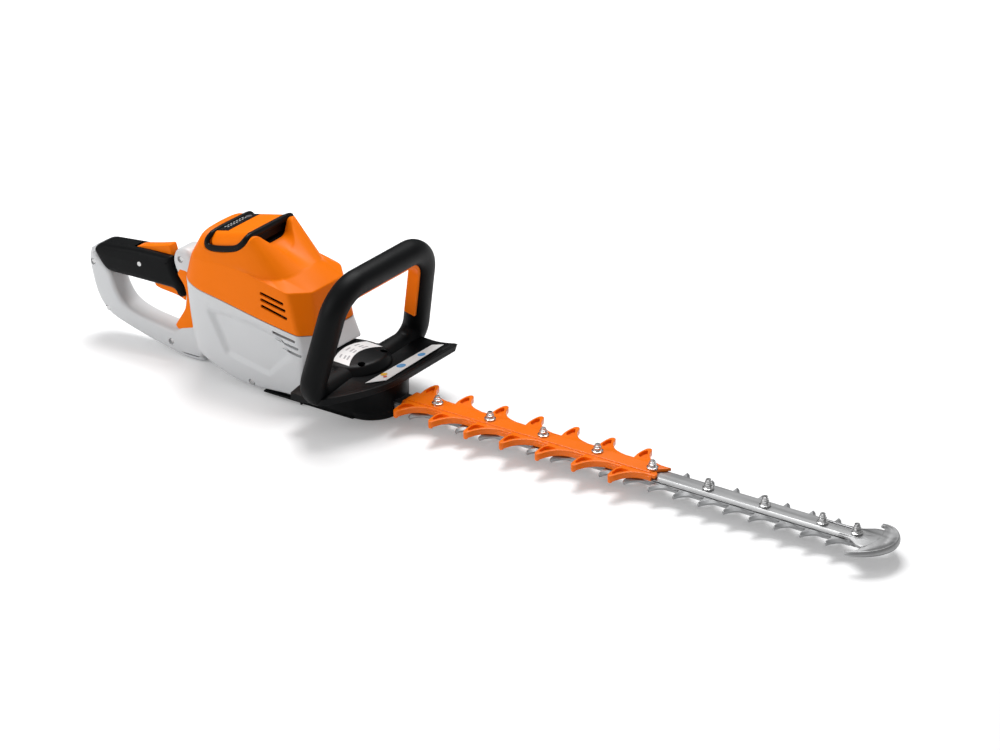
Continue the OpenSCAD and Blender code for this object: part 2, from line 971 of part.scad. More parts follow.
// Rear handle, drawn in side view with x forward and y up
module side(half) {
  rotate([90, 0, 0])
    translate([0, 0, -half])
      linear_extrude(2 * half)
        children();
}
boss = [-251, 127];
module handle_outline() {
  offset(r = 5, $fn = 20)
    offset(delta = -5)
      union() {
        polygon([[-386, 113], [-394, 110], [-399, 99], [-398, 88], [-390, 56], [-379, 38], [-364, 27],
          [-322, 14], [-278, 5], [-252, 0], [-228, 0], [neck_front - seam, 6],
          [neck_front - seam, 114], [-246, 118], [-262, 118]]);
        translate(boss)
          circle(r = 17);
      }
}
module hand_gap() {
  offset(r = 8, $fn = 20)
    offset(delta = -8)
      polygon([[-367, 87], [-358, 62], [-345, 45], [-320, 38], [-262, 30], [-256, 52], [-252, 70], [-256, 88]]);
}
module grip_outline() {
  offset(r = 3, $fn = 20)
    offset(delta = -3)
      polygon([[-388, 113], [-392, 109], [-381, 94], [-372, 85], [-337, 85.5], [-304, 86], [-266, 87],
        [-257, 78], [-252, 84], [-256, 92], [-266, 104], [-272, 116], [-274, 127], [-327, 125], [-380, 119]]);
}

module handle_side() {
  difference() {
    union() {
      side(grip_half)
        difference() {
          handle_outline();
          hand_gap();
          offset(delta = seam)
            grip_outline();
          translate([-500, 86])
            square([500 - 272, 60]);
          polygon([[-272, 150], [-272, 118], [-258, 96], [-250, 86], [-300, 84], [-300, 150]]);
        }
      side(grip_half)
        difference() {
          intersection() {
            handle_outline();
            polygon([[-410, 120], [-380, 120], [-380, 86], [-366, 80], [-410, 60]]);
          }
          offset(delta = seam)
            grip_outline();
        }
      side(grip_half)
        difference() {
          translate(boss)
            circle(r = 17);
          offset(delta = seam)
            grip_outline();
        }
      // Neck that widens to the housing
      hull() {
        translate([-238, -grip_half, 6])
          cube([1, 2 * grip_half, 108]);
        translate([neck_front - 2 - seam, -body_half + 10, 14])
          cube([2, 2 * body_half - 20, 20]);
        translate([neck_front - 2 - seam, -body_half + 4, 50])
          cube([2, 2 * body_half - 8, 62]);
      }
    }
    // Hollow of the neck
    hull() {
      translate([-236, -grip_half + wall, 12])
        cube([1, 2 * grip_half - 2 * wall, 90]);
      translate([neck_front - 1, -body_half + 14, 20])
        cube([4, 2 * body_half - 28, 80]);
    }
    // Pocket for the orange bridge
    side(9)
      bridge_outline(seam);
    for (p = handle_screw, s = [-1, 1])
      translate([p[0], s * (grip_half - 2.5), p[1]])
        rotate([90, 0, 0])
          cylinder(d = 8, h = 5 + 2 * eps, center = true);
  }
}
// Screws of the rear handle: [x, z]
handle_screw = [[-391, 93], [-371, 36], [-273, 17], [boss[0] - 4, boss[1] + 2]];

module bridge_outline(g) {
  offset(delta = g)
    polygon([[-262, 40], [-247, 40], [-243, 60], [-243, 100], [-248, 104], [-252, 96], [-249, 76], [-254, 56]]);
}
module rear_bridge() {
  color(orange)
    side(8.5)
      bridge_outline(0);
}

module half_of(s) {
  intersection() {
    children();
    translate([-big, s > 0 ? seam / 2 : -big, -big])
      cube([2 * big, big - seam / 2, 2 * big]);
  }
}

module handle_shell_right() {
  color(white)
    half_of(-1)
      handle_side();
}
module handle_shell_left() {
  color(white)
    half_of(1)
      handle_side();
}

trigger_pivot = [-266, 97];
lockout_pivot = [-326, 118.5];
lever_half = 7;
module grip() {
  difference() {
    side(grip_half)
      grip_outline();
    // Hollow of the grip
    side(grip_half - grip_wall)
      offset(delta = -grip_wall)
        grip_outline();
    // Mouth of the trigger and of the lockout lever
    side(lever_half + slip)
      polygon([[-309, 80], [-309, 106], [-256, 106], [-248, 84], [-252, 76], [-260, 74]]);
    side(lever_half + slip)
      polygon([[-332, 112], [-332, 140], [-262, 140], [-262, 112]]);
    for (p = [trigger_pivot, lockout_pivot])
      translate([p[0], 0, p[1]])
        rotate([90, 0, 0])
          cylinder(d = lever_pin_d, h = 2 * grip_half - 4, center = true);
    for (s = [-1, 1])
      translate([grip_screw[0], s * (grip_half - 1.5), grip_screw[1]])
        rotate([90, 0, 0])
          cylinder(d = 7, h = 3 + 2 * eps, center = true);
  }
}
grip_screw = [-318, 108];
module grip_right() {
  color(black)
    half_of(-1)
      grip();
}
module grip_left() {
  color(black)
    half_of(1)
      grip();
}

module trigger() {
  color(orange)
    difference() {
      side(lever_half)
        offset(r = 1.5, $fn = 16)
          offset(delta = -1.5)
            polygon([[-304, 88], [-302, 79], [-294, 76.5], [-266, 74], [-256, 70.5], [-253, 74],
              [-259, 92], [-261, 100], [-271, 102], [-284, 92]]);
      translate([trigger_pivot[0], 0, trigger_pivot[1]])
        rotate([90, 0, 0])
          cylinder(d = lever_pin_d + 2 * run, h = 40, center = true);
    }
}
module lockout_lever() {
  color(orange)
    difference() {
      side(lever_half)
        offset(r = 1.5, $fn = 16)
          offset(delta = -1.5)
            polygon([[-331, 116], [-329, 124], [-320, 127], [-278, 138], [-275.5, 129], [-275.5, 123],
              [-300, 119], [-320, 114]]);
      translate([lockout_pivot[0], 0, lockout_pivot[1]])
        rotate([90, 0, 0])
          cylinder(d = lever_pin_d + 2 * run, h = 40, center = true);
    }
}
module lever_pin(p) {
  translate([p[0], 0, p[1]])
    rotate([90, 0, 0])
      cylinder(d = lever_pin_d, h = 2 * grip_half - 4, center = true);
}
module trigger_pin() {
  color(steel)
    lever_pin(trigger_pivot);
}
module lockout_pin() {
  color(steel)
    lever_pin(lockout_pivot);
}

module main_switch() {
  color("dimgray")
    translate([-352, -grip_half + grip_wall, 94])
      cube([26, 2 * (grip_half - grip_wall), 12]);
}

// Front handle: the tube runs in a plane that leans forward.
// In that plane x is across and y is along the legs.
loop_x = -3;
loop_z = 30;
foot_y = 18;
foot_r = 24;
leg_angle = atan2(loop_h, loop_foot_half - loop_top_half);
foot_half = loop_foot_half - foot_y / tan(leg_angle);
top_k = loop_corner_r * tan(leg_angle / 2);
foot_k = foot_r * (1 + cos(leg_angle)) / sin(leg_angle);

module in_loop() {
  translate([loop_x, 0, loop_z])
    rotate([0, loop_lean, 0])
      rotate([90, 0, 90])
        children();
}
// Points along an arc, each with the direction of its outward normal
function arc(c, r, from, to, n) = [for (i = [0 : n])
  let (a = from + (to - from) * i / n) [c[0] + r * cos(a), c[1] + r * sin(a), a]];
bend_steps = 10;
tube_sides = 20;
tube_path = concat(
  arc([-loop_top_half + top_k, loop_h - loop_corner_r], loop_corner_r, 90, 90 + leg_angle, bend_steps),
  arc([-foot_half + foot_k, foot_y + foot_r], foot_r, 90 + leg_angle, 270, bend_steps),
  arc([foot_half - foot_k, foot_y + foot_r], foot_r, 270, 450 - leg_angle, bend_steps),
  arc([loop_top_half - top_k, loop_h - loop_corner_r], loop_corner_r, 450 - leg_angle, 450, bend_steps));
// Closed tube of one radius along tube_path
module tube(r) {
  n = len(tube_path);
  m = tube_sides;
  points = [for (p = tube_path, j = [0 : m - 1])
    let (b = 360 * j / m) [p[0] + r * cos(b) * cos(p[2]), p[1] + r * cos(b) * sin(p[2]), r * sin(b)]];
  faces = [for (i = [0 : n - 1], j = [0 : m - 1], k = [0, 1])
    let (i2 = (i + 1) % n, j2 = (j + 1) % m)
      k == 0 ? [i * m + j2, i2 * m + j, i * m + j] : [i * m + j2, i2 * m + j2, i2 * m + j]];
  polyhedron(points, faces);
}
// Outline of the loop at one distance outside the tube's middle line, above a height
module loop_outline(d, low) {
  intersection() {
    offset(r = d + loop_corner_r, $fn = 96)
      offset(delta = -loop_corner_r)
        polygon([[-loop_foot_half, 0], [-loop_top_half, loop_h], [loop_top_half, loop_h], [loop_foot_half, 0]]);
    translate([-big / 2, low])
      square(big);
  }
}
module loop_band(out, in, half, low) {
  in_loop()
    linear_extrude(2 * half, center = true)
      difference() {
        loop_outline(-out, low);
        loop_outline(-in, low - 1);
      }
}
bar_half = 7.5;
bar_in = 9;
bar_out = tube_r + 1.6;
bar_low = 62;

module shield_plan() {
  polygon([[-26, -72], [8, -95], [30, -98], [shield_front, -shield_half], [shield_front + 4, 0],
    [shield_front, shield_half], [30, 98], [8, 95], [-26, 72]]);
}
shield_front = 66;
shield_tilt = 7;
module front_handle() {
  color(black)
    difference() {
      union() {
        in_loop()
          tube(tube_r);
        // Hand shield
        translate([0, 0, 53])
          rotate([0, -shield_tilt, 0])
            translate([0, 0, -5])
              linear_extrude(5)
                shield_plan();
        // Hump over the gearbox
        translate([hump_rear, -hump_half, plate_z + plate_t + seam])
          cube([hump_front - hump_rear, 2 * hump_half, hump_top - plate_z - plate_t - seam]);
      }
      // Hollow of the hump
      translate([hump_rear - 1, -hump_half + wall, plate_z - 20])
        cube([hump_front - hump_rear + 1 - wall, 2 * hump_half - 2 * wall, hump_top - plate_z + 20 - wall]);
      // Seat on the gear base
      translate([0, 0, 0])
        linear_extrude(plate_z + plate_t + seam)
          base_plan(-seam);
      // Housing front
      translate([hump_rear - 100, -120, 0])
        cube([100, 240, 300]);
      // Groove of the switch bar
      loop_band(bar_in - bar_travel - slip, tube_r + 6, bar_half + slip, bar_low - slip);
      bar_switch_block();
      for (s = [-1, 1], x = base_screw_x)
        translate([x, s * base_screw_y, plate_z])
          cylinder(d = 9, h = 40);
    }
}
module switch_bar() {
  color(orange)
    loop_band(bar_in, bar_out, bar_half, bar_low);
}
module bar_switch_block() {
  in_loop()
    translate([-8, loop_h - bar_in + bar_travel + slip, -5])
      cube([16, 5, 10]);
}
module bar_switch() {
  color("dimgray")
    bar_switch_block();
}

module rating_label() {
  color("whitesmoke")
    translate([-18, -30, hump_top])
      cube([20, 60, 0.3]);
}
module shield_label() {
  color("whitesmoke")
    translate([0, 0, 53])
      rotate([0, -shield_tilt, 0])
        linear_extrude(0.3)
          polygon([[46, -60], [64, -72], [68, 0], [64, 72], [46, 60], [50, 0]]);
}

module screw(d, len) {
  cylinder(d = d, h = 2.4);
  translate([0, 0, 2.4 - eps])
    cylinder(d = d / 2, h = len);
}
module housing_screws() {
  color(steel)
    for (p = body_screw, s = [-1, 1])
      translate([p[0], s * (body_half - 9), p[1]])
        rotate([s * 90, 0, 0])
          screw(6.6, 4);
}
module handle_screws() {
  color(steel) {
    for (p = handle_screw, s = [-1, 1])
      translate([p[0], s * (grip_half - 2.6), p[1]])
        rotate([s * 90, 0, 0])
          cylinder(d = 6, h = 2.4);
    for (s = [-1, 1])
      translate([grip_screw[0], s * (grip_half - 0.4), grip_screw[1]])
        rotate([s * 90, 0, 0])
          cylinder(d = 6, h = 2.5);
  }
}
module cover_screws() {
  color(steel)
    for (s = [-1, 1], x = base_screw_x)
      translate([x, s * base_screw_y, plate_z + plate_t])
        cylinder(d = 8, h = 3);
}

upper_blade();
lower_blade();
guide_rail();
tip_shoe();
tooth_guard();
blade_bolts();
blade_washers();
blade_nuts();
blade_bushes();
wire_clip();
gear_base();
gear_plate();
crank_gear();
idler_gear();
idler_pin();
gearbox_bearings();
motor_pinion();
motor_shaft();
motor_magnets();
motor_windings();
motor_can();
motor_cap();
motor_bearings();
cooling_fan();
body_shell_right();
body_shell_left();
hood();
battery_bay();
contact_block();
control_board();
battery_case();
battery_cap();
battery_rim();
charge_panel();
charge_button();
latch_right();
latch_left();
handle_shell_right();
handle_shell_left();
rear_bridge();
grip_right();
grip_left();
trigger();
trigger_pin();
lockout_lever();
lockout_pin();
main_switch();
bar_switch();
front_handle();
switch_bar();
rating_label();
shield_label();
housing_screws();
handle_screws();
cover_screws();
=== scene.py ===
"""Looks of a battery hedge trimmer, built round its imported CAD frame.

Lengths in this file are in millimetres until a surface is made; +X points to the blade tip and +Z up.
"""

import math

import bmesh
import bpy
import numpy as np
from bpy.props import FloatProperty, FloatVectorProperty, PointerProperty
from mathutils import Matrix, Vector
from mathutils.geometry import tessellate_polygon


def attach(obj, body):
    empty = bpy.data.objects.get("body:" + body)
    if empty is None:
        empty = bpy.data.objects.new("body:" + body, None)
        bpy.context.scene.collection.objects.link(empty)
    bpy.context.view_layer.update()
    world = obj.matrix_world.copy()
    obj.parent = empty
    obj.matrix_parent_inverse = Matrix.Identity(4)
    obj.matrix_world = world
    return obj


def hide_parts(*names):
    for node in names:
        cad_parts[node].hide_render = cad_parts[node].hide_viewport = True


bl_info = {
    "name": "Hedge Trimmer Looks",
    "version": (1, 0, 0),
    "blender": (4, 5, 0),
    "location": "3D View > Sidebar > Trimmer",
    "description": "Builds the shells, grips, guard, cutter and finishes of a battery hedge trimmer",
    "category": "Object",
}

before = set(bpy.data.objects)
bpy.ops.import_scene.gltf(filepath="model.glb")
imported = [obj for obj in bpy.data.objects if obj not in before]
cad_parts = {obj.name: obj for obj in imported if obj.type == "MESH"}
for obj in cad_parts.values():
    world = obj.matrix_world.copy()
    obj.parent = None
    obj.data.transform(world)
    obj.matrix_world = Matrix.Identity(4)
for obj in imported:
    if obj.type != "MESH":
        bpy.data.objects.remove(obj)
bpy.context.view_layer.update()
MM = 0.001

# Lean of the battery and of the front loop, as in the frame
BATTERY_LEAN = math.radians(12.4)
BATTERY_TOP = np.array([-161.0, 0.0, 194.0])
LOOP_LEAN = math.radians(12.6)
LOOP_ORIGIN = np.array([-3.0, 0.0, 30.0])


# ---------------------------------------------------------------- settings

def colour(name, text, value):
    """A linear colour setting."""
    return FloatVectorProperty(name=name, description=text, default=value, subtype="COLOR", min=0, max=1)


class TrimmerColours(bpy.types.PropertyGroup):
    orange: colour("Orange", "Hood, levers and battery cap", (0.86, 0.175, 0.0003))
    guard: colour("Guard orange", "Clip-on tooth guard", (0.86, 0.160, 0.0005))
    white: colour("White", "Body and rear handle", (0.58, 0.59, 0.60))
    black: colour("Black", "Moulded black parts", (0.0028, 0.0032, 0.0036))
    rubber: colour("Rubber", "Grips and front loop", (0.0022, 0.0026, 0.0030))
    steel: colour("Steel", "Ground blade steel", (0.36, 0.364, 0.37))
    label: colour("Label", "Plain label stock", (0.72, 0.73, 0.73))


class TrimmerSizes(bpy.types.PropertyGroup):
    loop_radius: FloatProperty(
        name="Loop radius", description="Radius of the front loop's tube", default=0.0152, unit="LENGTH")
    grip_edge: FloatProperty(
        name="Grip edge", description="Rounding of the rear grip's edges", default=0.0075, unit="LENGTH")
    handle_edge: FloatProperty(
        name="Handle edge", description="Rounding of the rear handle's edges", default=0.0062, unit="LENGTH")
    slot_height: FloatProperty(
        name="Slot height", description="Height of a cooling slot", default=0.0041, unit="LENGTH")
    panel_depth: FloatProperty(
        name="Panel depth", description="Depth of the recess in the body's side", default=0.0045,
        unit="LENGTH")


class TrimmerStage(bpy.types.PropertyGroup):
    azimuth: FloatProperty(
        name="Azimuth", description="Turn of the camera round the object", default=math.radians(34.722),
        subtype="ANGLE")
    elevation: FloatProperty(
        name="Elevation", description="Height of the camera above the floor plane",
        default=math.radians(25.020), subtype="ANGLE")
    distance: FloatProperty(
        name="Distance", description="Distance from the camera to its aim", default=5.0704, unit="LENGTH")
    lens: FloatProperty(name="Lens", description="Focal length in millimetres", default=156.75, unit="CAMERA")
    key: FloatProperty(
        name="Key light", description="Strength of the overhead lamp", default=58.0, unit="POWER")
    sky: FloatProperty(name="Sky light", description="Strength of the surrounding light", default=0.42)


# ---------------------------------------------------------------- surfaces

def bend(points, cut, closed=False, steps=6):
    """Rounds the corners of a polyline, or of many side by side.

    Each corner turns into a quadratic Bezier curve that starts and ends the length `cut` away from
    it, or half-way along a shorter leg. Columns after the third are blended in the same way.
    """
    p = np.asarray(points, float)
    before, after = np.roll(p, 1, 0), np.roll(p, -1, 0)
    leg_in = np.linalg.norm((before - p)[..., :3], axis=-1, keepdims=True) + 1e-9
    leg_out = np.linalg.norm((after - p)[..., :3], axis=-1, keepdims=True) + 1e-9
    cut = np.broadcast_to(np.asarray(cut, float), p.shape[:-1])[..., None]
    start = p + (before - p) * np.minimum(cut / leg_in, 0.5)
    end = p + (after - p) * np.minimum(cut / leg_out, 0.5)
    t = np.linspace(0, 1, steps).reshape((steps,) + (1,) * p.ndim)
    curve = np.moveaxis((1 - t) ** 2 * start + 2 * t * (1 - t) * p + t ** 2 * end, 0, 1)
    if closed:
        return curve.reshape((-1,) + p.shape[1:])
    inner = curve[1:-1].reshape((-1,) + p.shape[1:])
    return np.concatenate([p[:1], inner, p[-1:]])


def refine(points, count, closed=False):
    """Puts count - 1 evenly spaced points between neighbours along the first axis."""
    p = np.asarray(points, float)
    here = p if closed else p[:-1]
    there = np.roll(p, -1, 0) if closed else p[1:]
    t = (np.arange(count) / count).reshape((1, count) + (1,) * (p.ndim - 1))
    filled = (here[:, None] * (1 - t) + there[:, None] * t).reshape((-1,) + p.shape[1:])
    return filled if closed else np.concatenate([filled, p[-1:]])


def net(points, cut_u, cut_v, closed_u=False, closed_v=False, steps=6):
    """A surface over a coarse net of points: corners are rounded along the first axis, then the second."""
    p = np.asarray(points, float)
    wide = np.concatenate([p, np.broadcast_to(cut_v, p.shape[:2])[..., None]], -1)
    along = bend(wide, cut_u, closed_u, steps)
    across = bend(np.swapaxes(along[..., :3], 0, 1), np.swapaxes(along[..., 3], 0, 1), closed_v, steps)
    return np.swapaxes(across, 0, 1)


def faces_of(rows, columns, wrap_u, wrap_v, offset=0):
    """Quads between neighbouring points of a grid."""
    index = np.arange(rows * columns).reshape(rows, columns) + offset
    if wrap_u:
        index = np.vstack([index, index[:1]])
    if wrap_v:
        index = np.hstack([index, index[:, :1]])
    quads = np.stack([index[:-1, :-1], index[1:, :-1], index[1:, 1:], index[:-1, 1:]], -1)
    return quads.reshape(-1, 4).tolist()


def grid(points, wrap_u=False, wrap_v=False, cap_u=False):
    """A grid of points as a surface (points, faces). cap_u closes the first and last loop with a face."""
    rows, columns = points.shape[:2]
    faces = faces_of(rows, columns, wrap_u, wrap_v)
    if cap_u:
        faces.append(list(range(columns))[::-1])
        faces.append(list(range((rows - 1) * columns, rows * columns)))
    return points.reshape(-1, 3), faces


def join(*surfaces):
    """Several surfaces as one."""
    points, faces, shift = [], [], 0
    for verts, polygons in surfaces:
        points.append(verts)
        faces += [[i + shift for i in polygon] for polygon in polygons]
        shift += len(verts)
    return np.concatenate(points), faces


def mirrored(surface):
    """The surface mirrored to the other side of the machine."""
    points, faces = surface
    return points * [1, -1, 1], [polygon[::-1] for polygon in faces]


def both(surface):
    """The surface and its mirror image."""
    return join(surface, mirrored(surface))


def placed(points, origin, lean, turn=1):
    """Points (forward, across, up) carried into a frame that leans about Y."""
    c, s = math.cos(lean), math.sin(lean) * turn
    x, y, z = points[..., 0], points[..., 1], points[..., 2]
    return np.stack([origin[0] + x * c + z * s, origin[1] + y, origin[2] - x * s + z * c], -1)


def in_battery(points):
    """Points of the battery's own frame, whose top leans to the rear."""
    return placed(np.asarray(points, float), BATTERY_TOP, BATTERY_LEAN, -1)


def in_loop(points):
    """Points (normal, across, along the legs) of the front loop's leaning plane."""
    return placed(np.asarray(points, float), LOOP_ORIGIN, LOOP_LEAN, 1)


def outline_normals(outline):
    """Unit normals of a closed outline, to the left of its direction of travel."""
    ahead = np.roll(outline, -1, 0) - outline
    behind = outline - np.roll(outline, 1, 0)
    ahead /= np.linalg.norm(ahead, axis=1, keepdims=True) + 1e-9
    behind /= np.linalg.norm(behind, axis=1, keepdims=True) + 1e-9
    mean = ahead + behind
    mean /= np.linalg.norm(mean, axis=1, keepdims=True) + 1e-9
    return np.stack([-mean[:, 1], mean[:, 0]], 1)


def plate(outline, low, high, edge, steps=6, up="y"):
    """A flat plate with rounded edges.

    The closed outline (counter-clockwise) is carried from `low` to `high`; near each face it moves inwards
    on a quarter circle of radius `edge`. The two faces are filled with triangles.
    """
    inward = outline_normals(outline)
    a = np.linspace(0, math.pi / 2, steps)
    inset = np.concatenate([edge * (1 - np.sin(a)), edge * (1 - np.sin(a[::-1]))])
    height = np.concatenate([low + edge * (1 - np.cos(a)), high - edge * (1 - np.cos(a[::-1]))])
    flat = outline[None] + inward[None] * inset[:, None, None]
    level = np.broadcast_to(height[:, None, None], flat.shape[:2] + (1,))
    if up == "y":
        points = np.concatenate([flat[..., :1], level, flat[..., 1:]], -1)
    else:
        points = np.concatenate([flat, level], -1)
    rows, count = points.shape[:2]
    verts, faces = grid(points, wrap_v=True)
    cap = tessellate_polygon([[Vector((x, z, 0)) for x, z in flat[0]]])
    last = (rows - 1) * count
    faces += [list(t) for t in cap] + [[i + last for i in t][::-1] for t in cap]
    return verts, faces


def ellipse_section(half_w, half_h, power=2.0, count=48):
    """Points of a superellipse |x/a|^n + |y/b|^n = 1, evenly spaced in angle."""
    a = np.linspace(0, 2 * math.pi, count, endpoint=False)
    c, s = np.cos(a), np.sin(a)
    return np.stack([half_w * np.sign(c) * np.abs(c) ** (2 / power),
                     half_h * np.sign(s) * np.abs(s) ** (2 / power)], -1)


def sweep(path, section, side, closed=False):
    """A section carried along a path. `side` is the section's first axis at every point of the path;
    the second axis is the path's direction crossed with it."""
    ahead = np.roll(path, -1, 0) - np.roll(path, 1, 0)
    if not closed:
        ahead[0], ahead[-1] = path[1] - path[0], path[-1] - path[-2]
    ahead /= np.linalg.norm(ahead, axis=1, keepdims=True)
    side = np.broadcast_to(side, path.shape).astype(float)
    side = side - ahead * (side * ahead).sum(1, keepdims=True)
    side /= np.linalg.norm(side, axis=1, keepdims=True)
    other = np.cross(ahead, side)
    section = np.broadcast_to(section, (len(path),) + section.shape[-2:])
    points = (path[:, None] + side[:, None] * section[..., :1] + other[:, None] * section[..., 1:])
    return grid(points, wrap_u=closed, wrap_v=True, cap_u=not closed)


def disc(centre, normal, radius, height, count=32, edge=0.2):
    """A short round pin or screw head standing on centre along normal, with a small rounded rim."""
    n = np.array(normal, float) / np.linalg.norm(normal)
    a = np.cross(n, [0.31, 0.17, 0.93])
    a /= np.linalg.norm(a)
    b = np.cross(n, a)
    t = np.linspace(0, 2 * math.pi, count, endpoint=False)[:, None]
    ring = np.cos(t) * a + np.sin(t) * b
    steps = [(radius, 0), (radius, height - edge), (radius - edge * 0.3, height - edge * 0.3),
             (radius - edge, height)]
    points = np.stack([np.array(centre) + ring * r + n * h for r, h in steps])
    return grid(points, wrap_v=True, cap_u=True)


# ---------------------------------------------------------------- pieces

def shade_smooth(mesh, sharp):
    """Shades faces smooth, but leaves edges sharper than an angle in degrees."""
    mesh.polygons.foreach_set("use_smooth", np.ones(len(mesh.polygons), bool))
    mesh.set_sharp_from_angle(angle=math.radians(sharp))


def finish_mesh(mesh, sharp=35, weld=2e-5):
    """Merges doubles, turns faces outwards and shades smooth up to an angle."""
    work = bmesh.new()
    work.from_mesh(mesh)
    bmesh.ops.remove_doubles(work, verts=work.verts, dist=weld)
    bmesh.ops.dissolve_degenerate(work, edges=work.edges, dist=1e-6)
    bmesh.ops.recalc_face_normals(work, faces=work.faces)
    work.to_mesh(mesh)
    work.free()
    shade_smooth(mesh, sharp)
    mesh.update()


def surface_mesh(name, surface, sharp=35):
    """A finished mesh of a surface in millimetres."""
    points, faces = surface
    mesh = bpy.data.meshes.new(name)
    mesh.from_pydata((np.asarray(points) * MM).tolist(), [], faces)
    finish_mesh(mesh, sharp)
    return mesh


def add_object(name, data):
    """A new object at the origin, linked to the scene."""
    thing = bpy.data.objects.new(name, data)
    bpy.context.scene.collection.objects.link(thing)
    return thing


def piece(name, surface, body, material, replaces=(), sharp=35):
    """Makes an object of a surface, gives it a material and lets it ride on a body."""
    mesh = surface_mesh(name, surface, sharp)
    thing = add_object(name, mesh)
    mesh.materials.append(material)
    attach(thing, body)
    if replaces:
        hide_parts(*replaces)
    return thing


def cad_copy(node, name, body, material, cuts=None, width=0.0):
    """A copy of a CAD node's mesh as a new piece, cut and bevelled where wanted."""
    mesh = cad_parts[node].data.copy()
    mesh.name = name
    finish_mesh(mesh)
    mesh.materials.clear()
    mesh.materials.append(material)
    thing = add_object(name, mesh)
    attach(thing, body)
    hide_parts(node)
    if cuts:
        carve(thing, cuts)
    if width:
        bevel = thing.modifiers.new("edges", "BEVEL")
        bevel.width = width
        bevel.segments = 2
        bevel.harden_normals = True
        bevel.limit_method = "ANGLE"
        bevel.angle_limit = math.radians(35)
    return thing


def carve(thing, surface, sharp=35):
    """Cuts closed surfaces out of a piece and keeps the result as its mesh."""
    mesh = surface_mesh("cutter", surface)
    cutter = add_object("cutter", mesh)
    cut = thing.modifiers.new("cut", "BOOLEAN")
    cut.operation = "DIFFERENCE"
    cut.solver = "EXACT"
    cut.object = cutter
    bpy.context.view_layer.update()
    result = bpy.data.meshes.new_from_object(thing.evaluated_get(bpy.context.evaluated_depsgraph_get()))
    thing.modifiers.clear()
    old = thing.data
    thing.data = result
    result.name = old.name + "_cut"
    bpy.data.meshes.remove(old)
    bpy.data.objects.remove(cutter)
    bpy.data.meshes.remove(mesh)
    shade_smooth(result, sharp)
    return thing


def box_between(start, end, height, y_low, y_high):
    """A long box whose middle runs from start to end, points (x, z), between two distances across."""
    start, end = np.array(start, float), np.array(end, float)
    along = (end - start) / np.linalg.norm(end - start)
    up = np.array([-along[1], along[0]]) * height / 2
    outline = np.array([start - up, end - up, end + up, start + up])
    outline = bend(np.c_[outline, np.zeros(4)], height * 0.4, True, 4)[:, :2]
    return plate(outline, y_low, y_high, 0.05, steps=2)


# ---------------------------------------------------------------- finishes

FLOAT, COLOUR, VECTOR = "NodeSocketFloat", "NodeSocketColor", "NodeSocketVector"
MIDDLE_GREY = (0.5, 0.5, 0.5, 1)


def feed(tree, socket, source):
    """Links an output to a socket, or sets the socket to a plain value."""
    if isinstance(source, bpy.types.NodeSocket):
        tree.links.new(source, socket)
    else:
        socket.default_value = source


def add_node(tree, kind, sources=None, operation=None):
    """A shader node whose inputs, by name or number, are fed with values or outputs."""
    node = tree.nodes.new("ShaderNode" + kind)
    if operation:
        node.operation = operation
    for label, source in (sources or {}).items():
        feed(tree, node.inputs[label], source)
    return node


def new_group(name, inputs):
    """An empty shader node group that puts out a colour, a roughness and a normal."""
    group = bpy.data.node_groups.new(name, "ShaderNodeTree")
    for label, kind, value in inputs:
        group.interface.new_socket(label, in_out="INPUT", socket_type=kind).default_value = value
    for label, kind in (("Colour", COLOUR), ("Roughness", FLOAT), ("Normal", VECTOR)):
        group.interface.new_socket(label, in_out="OUTPUT", socket_type=kind)
    return group, group.nodes.new("NodeGroupInput").outputs, group.nodes.new("NodeGroupOutput").inputs


def finish_group(group, given, out, relief, tone, gloss):
    """The part that both surface groups share.

    relief is (height, strength, distance) of the bump, tone is (source, darkest, brightest) of the colour
    and gloss is (source, lowest, highest) of what spreads from the low to the high roughness.
    """
    bump = add_node(group, "Bump", dict(zip(("Height", "Strength", "Distance"), relief)))
    feed(group, out["Normal"], bump.outputs["Normal"])
    spread = add_node(group, "MapRange", {"Value": tone[0], "From Min": 0.3, "From Max": 0.7,
                                          "To Min": tone[1], "To Max": tone[2]})
    shade = add_node(group, "HueSaturation", {"Value": spread.outputs["Result"], "Color": given["Colour"]})
    feed(group, out["Colour"], shade.outputs["Color"])
    rough = add_node(group, "MapRange", {"Value": gloss[0], "From Min": gloss[1], "From Max": gloss[2],
                                         "To Min": given["Rough low"], "To Max": given["Rough high"]})
    feed(group, out["Roughness"], rough.outputs["Result"])


def moulded_group():
    """Surface of a moulding: fine spark-eroded grain, a slow waviness and a faint mottle."""
    if "Moulded surface" in bpy.data.node_groups:
        return bpy.data.node_groups["Moulded surface"]
    group, given, out = new_group(
        "Moulded surface",
        [("Grain size", FLOAT, 900.0), ("Grain height", FLOAT, 0.1), ("Colour", COLOUR, MIDDLE_GREY),
         ("Mottle", FLOAT, 0.05), ("Rough low", FLOAT, 0.3), ("Rough high", FLOAT, 0.4)])
    place = add_node(group, "TexCoord").outputs["Object"]
    grain = add_node(group, "TexNoise", {"Vector": place, "Scale": given["Grain size"], "Detail": 3})
    slow = add_node(group, "TexNoise", {"Vector": place, "Scale": 24, "Detail": 4}).outputs["Fac"]
    dark, bright = [add_node(group, "Math", {0: 1.0, 1: given["Mottle"]}, kind).outputs[0]
                    for kind in ("SUBTRACT", "ADD")]
    relief = (grain.outputs["Fac"], given["Grain height"], 0.0004)
    finish_group(group, given, out, relief, (slow, dark, bright), (slow, 0.3, 0.7))
    return group


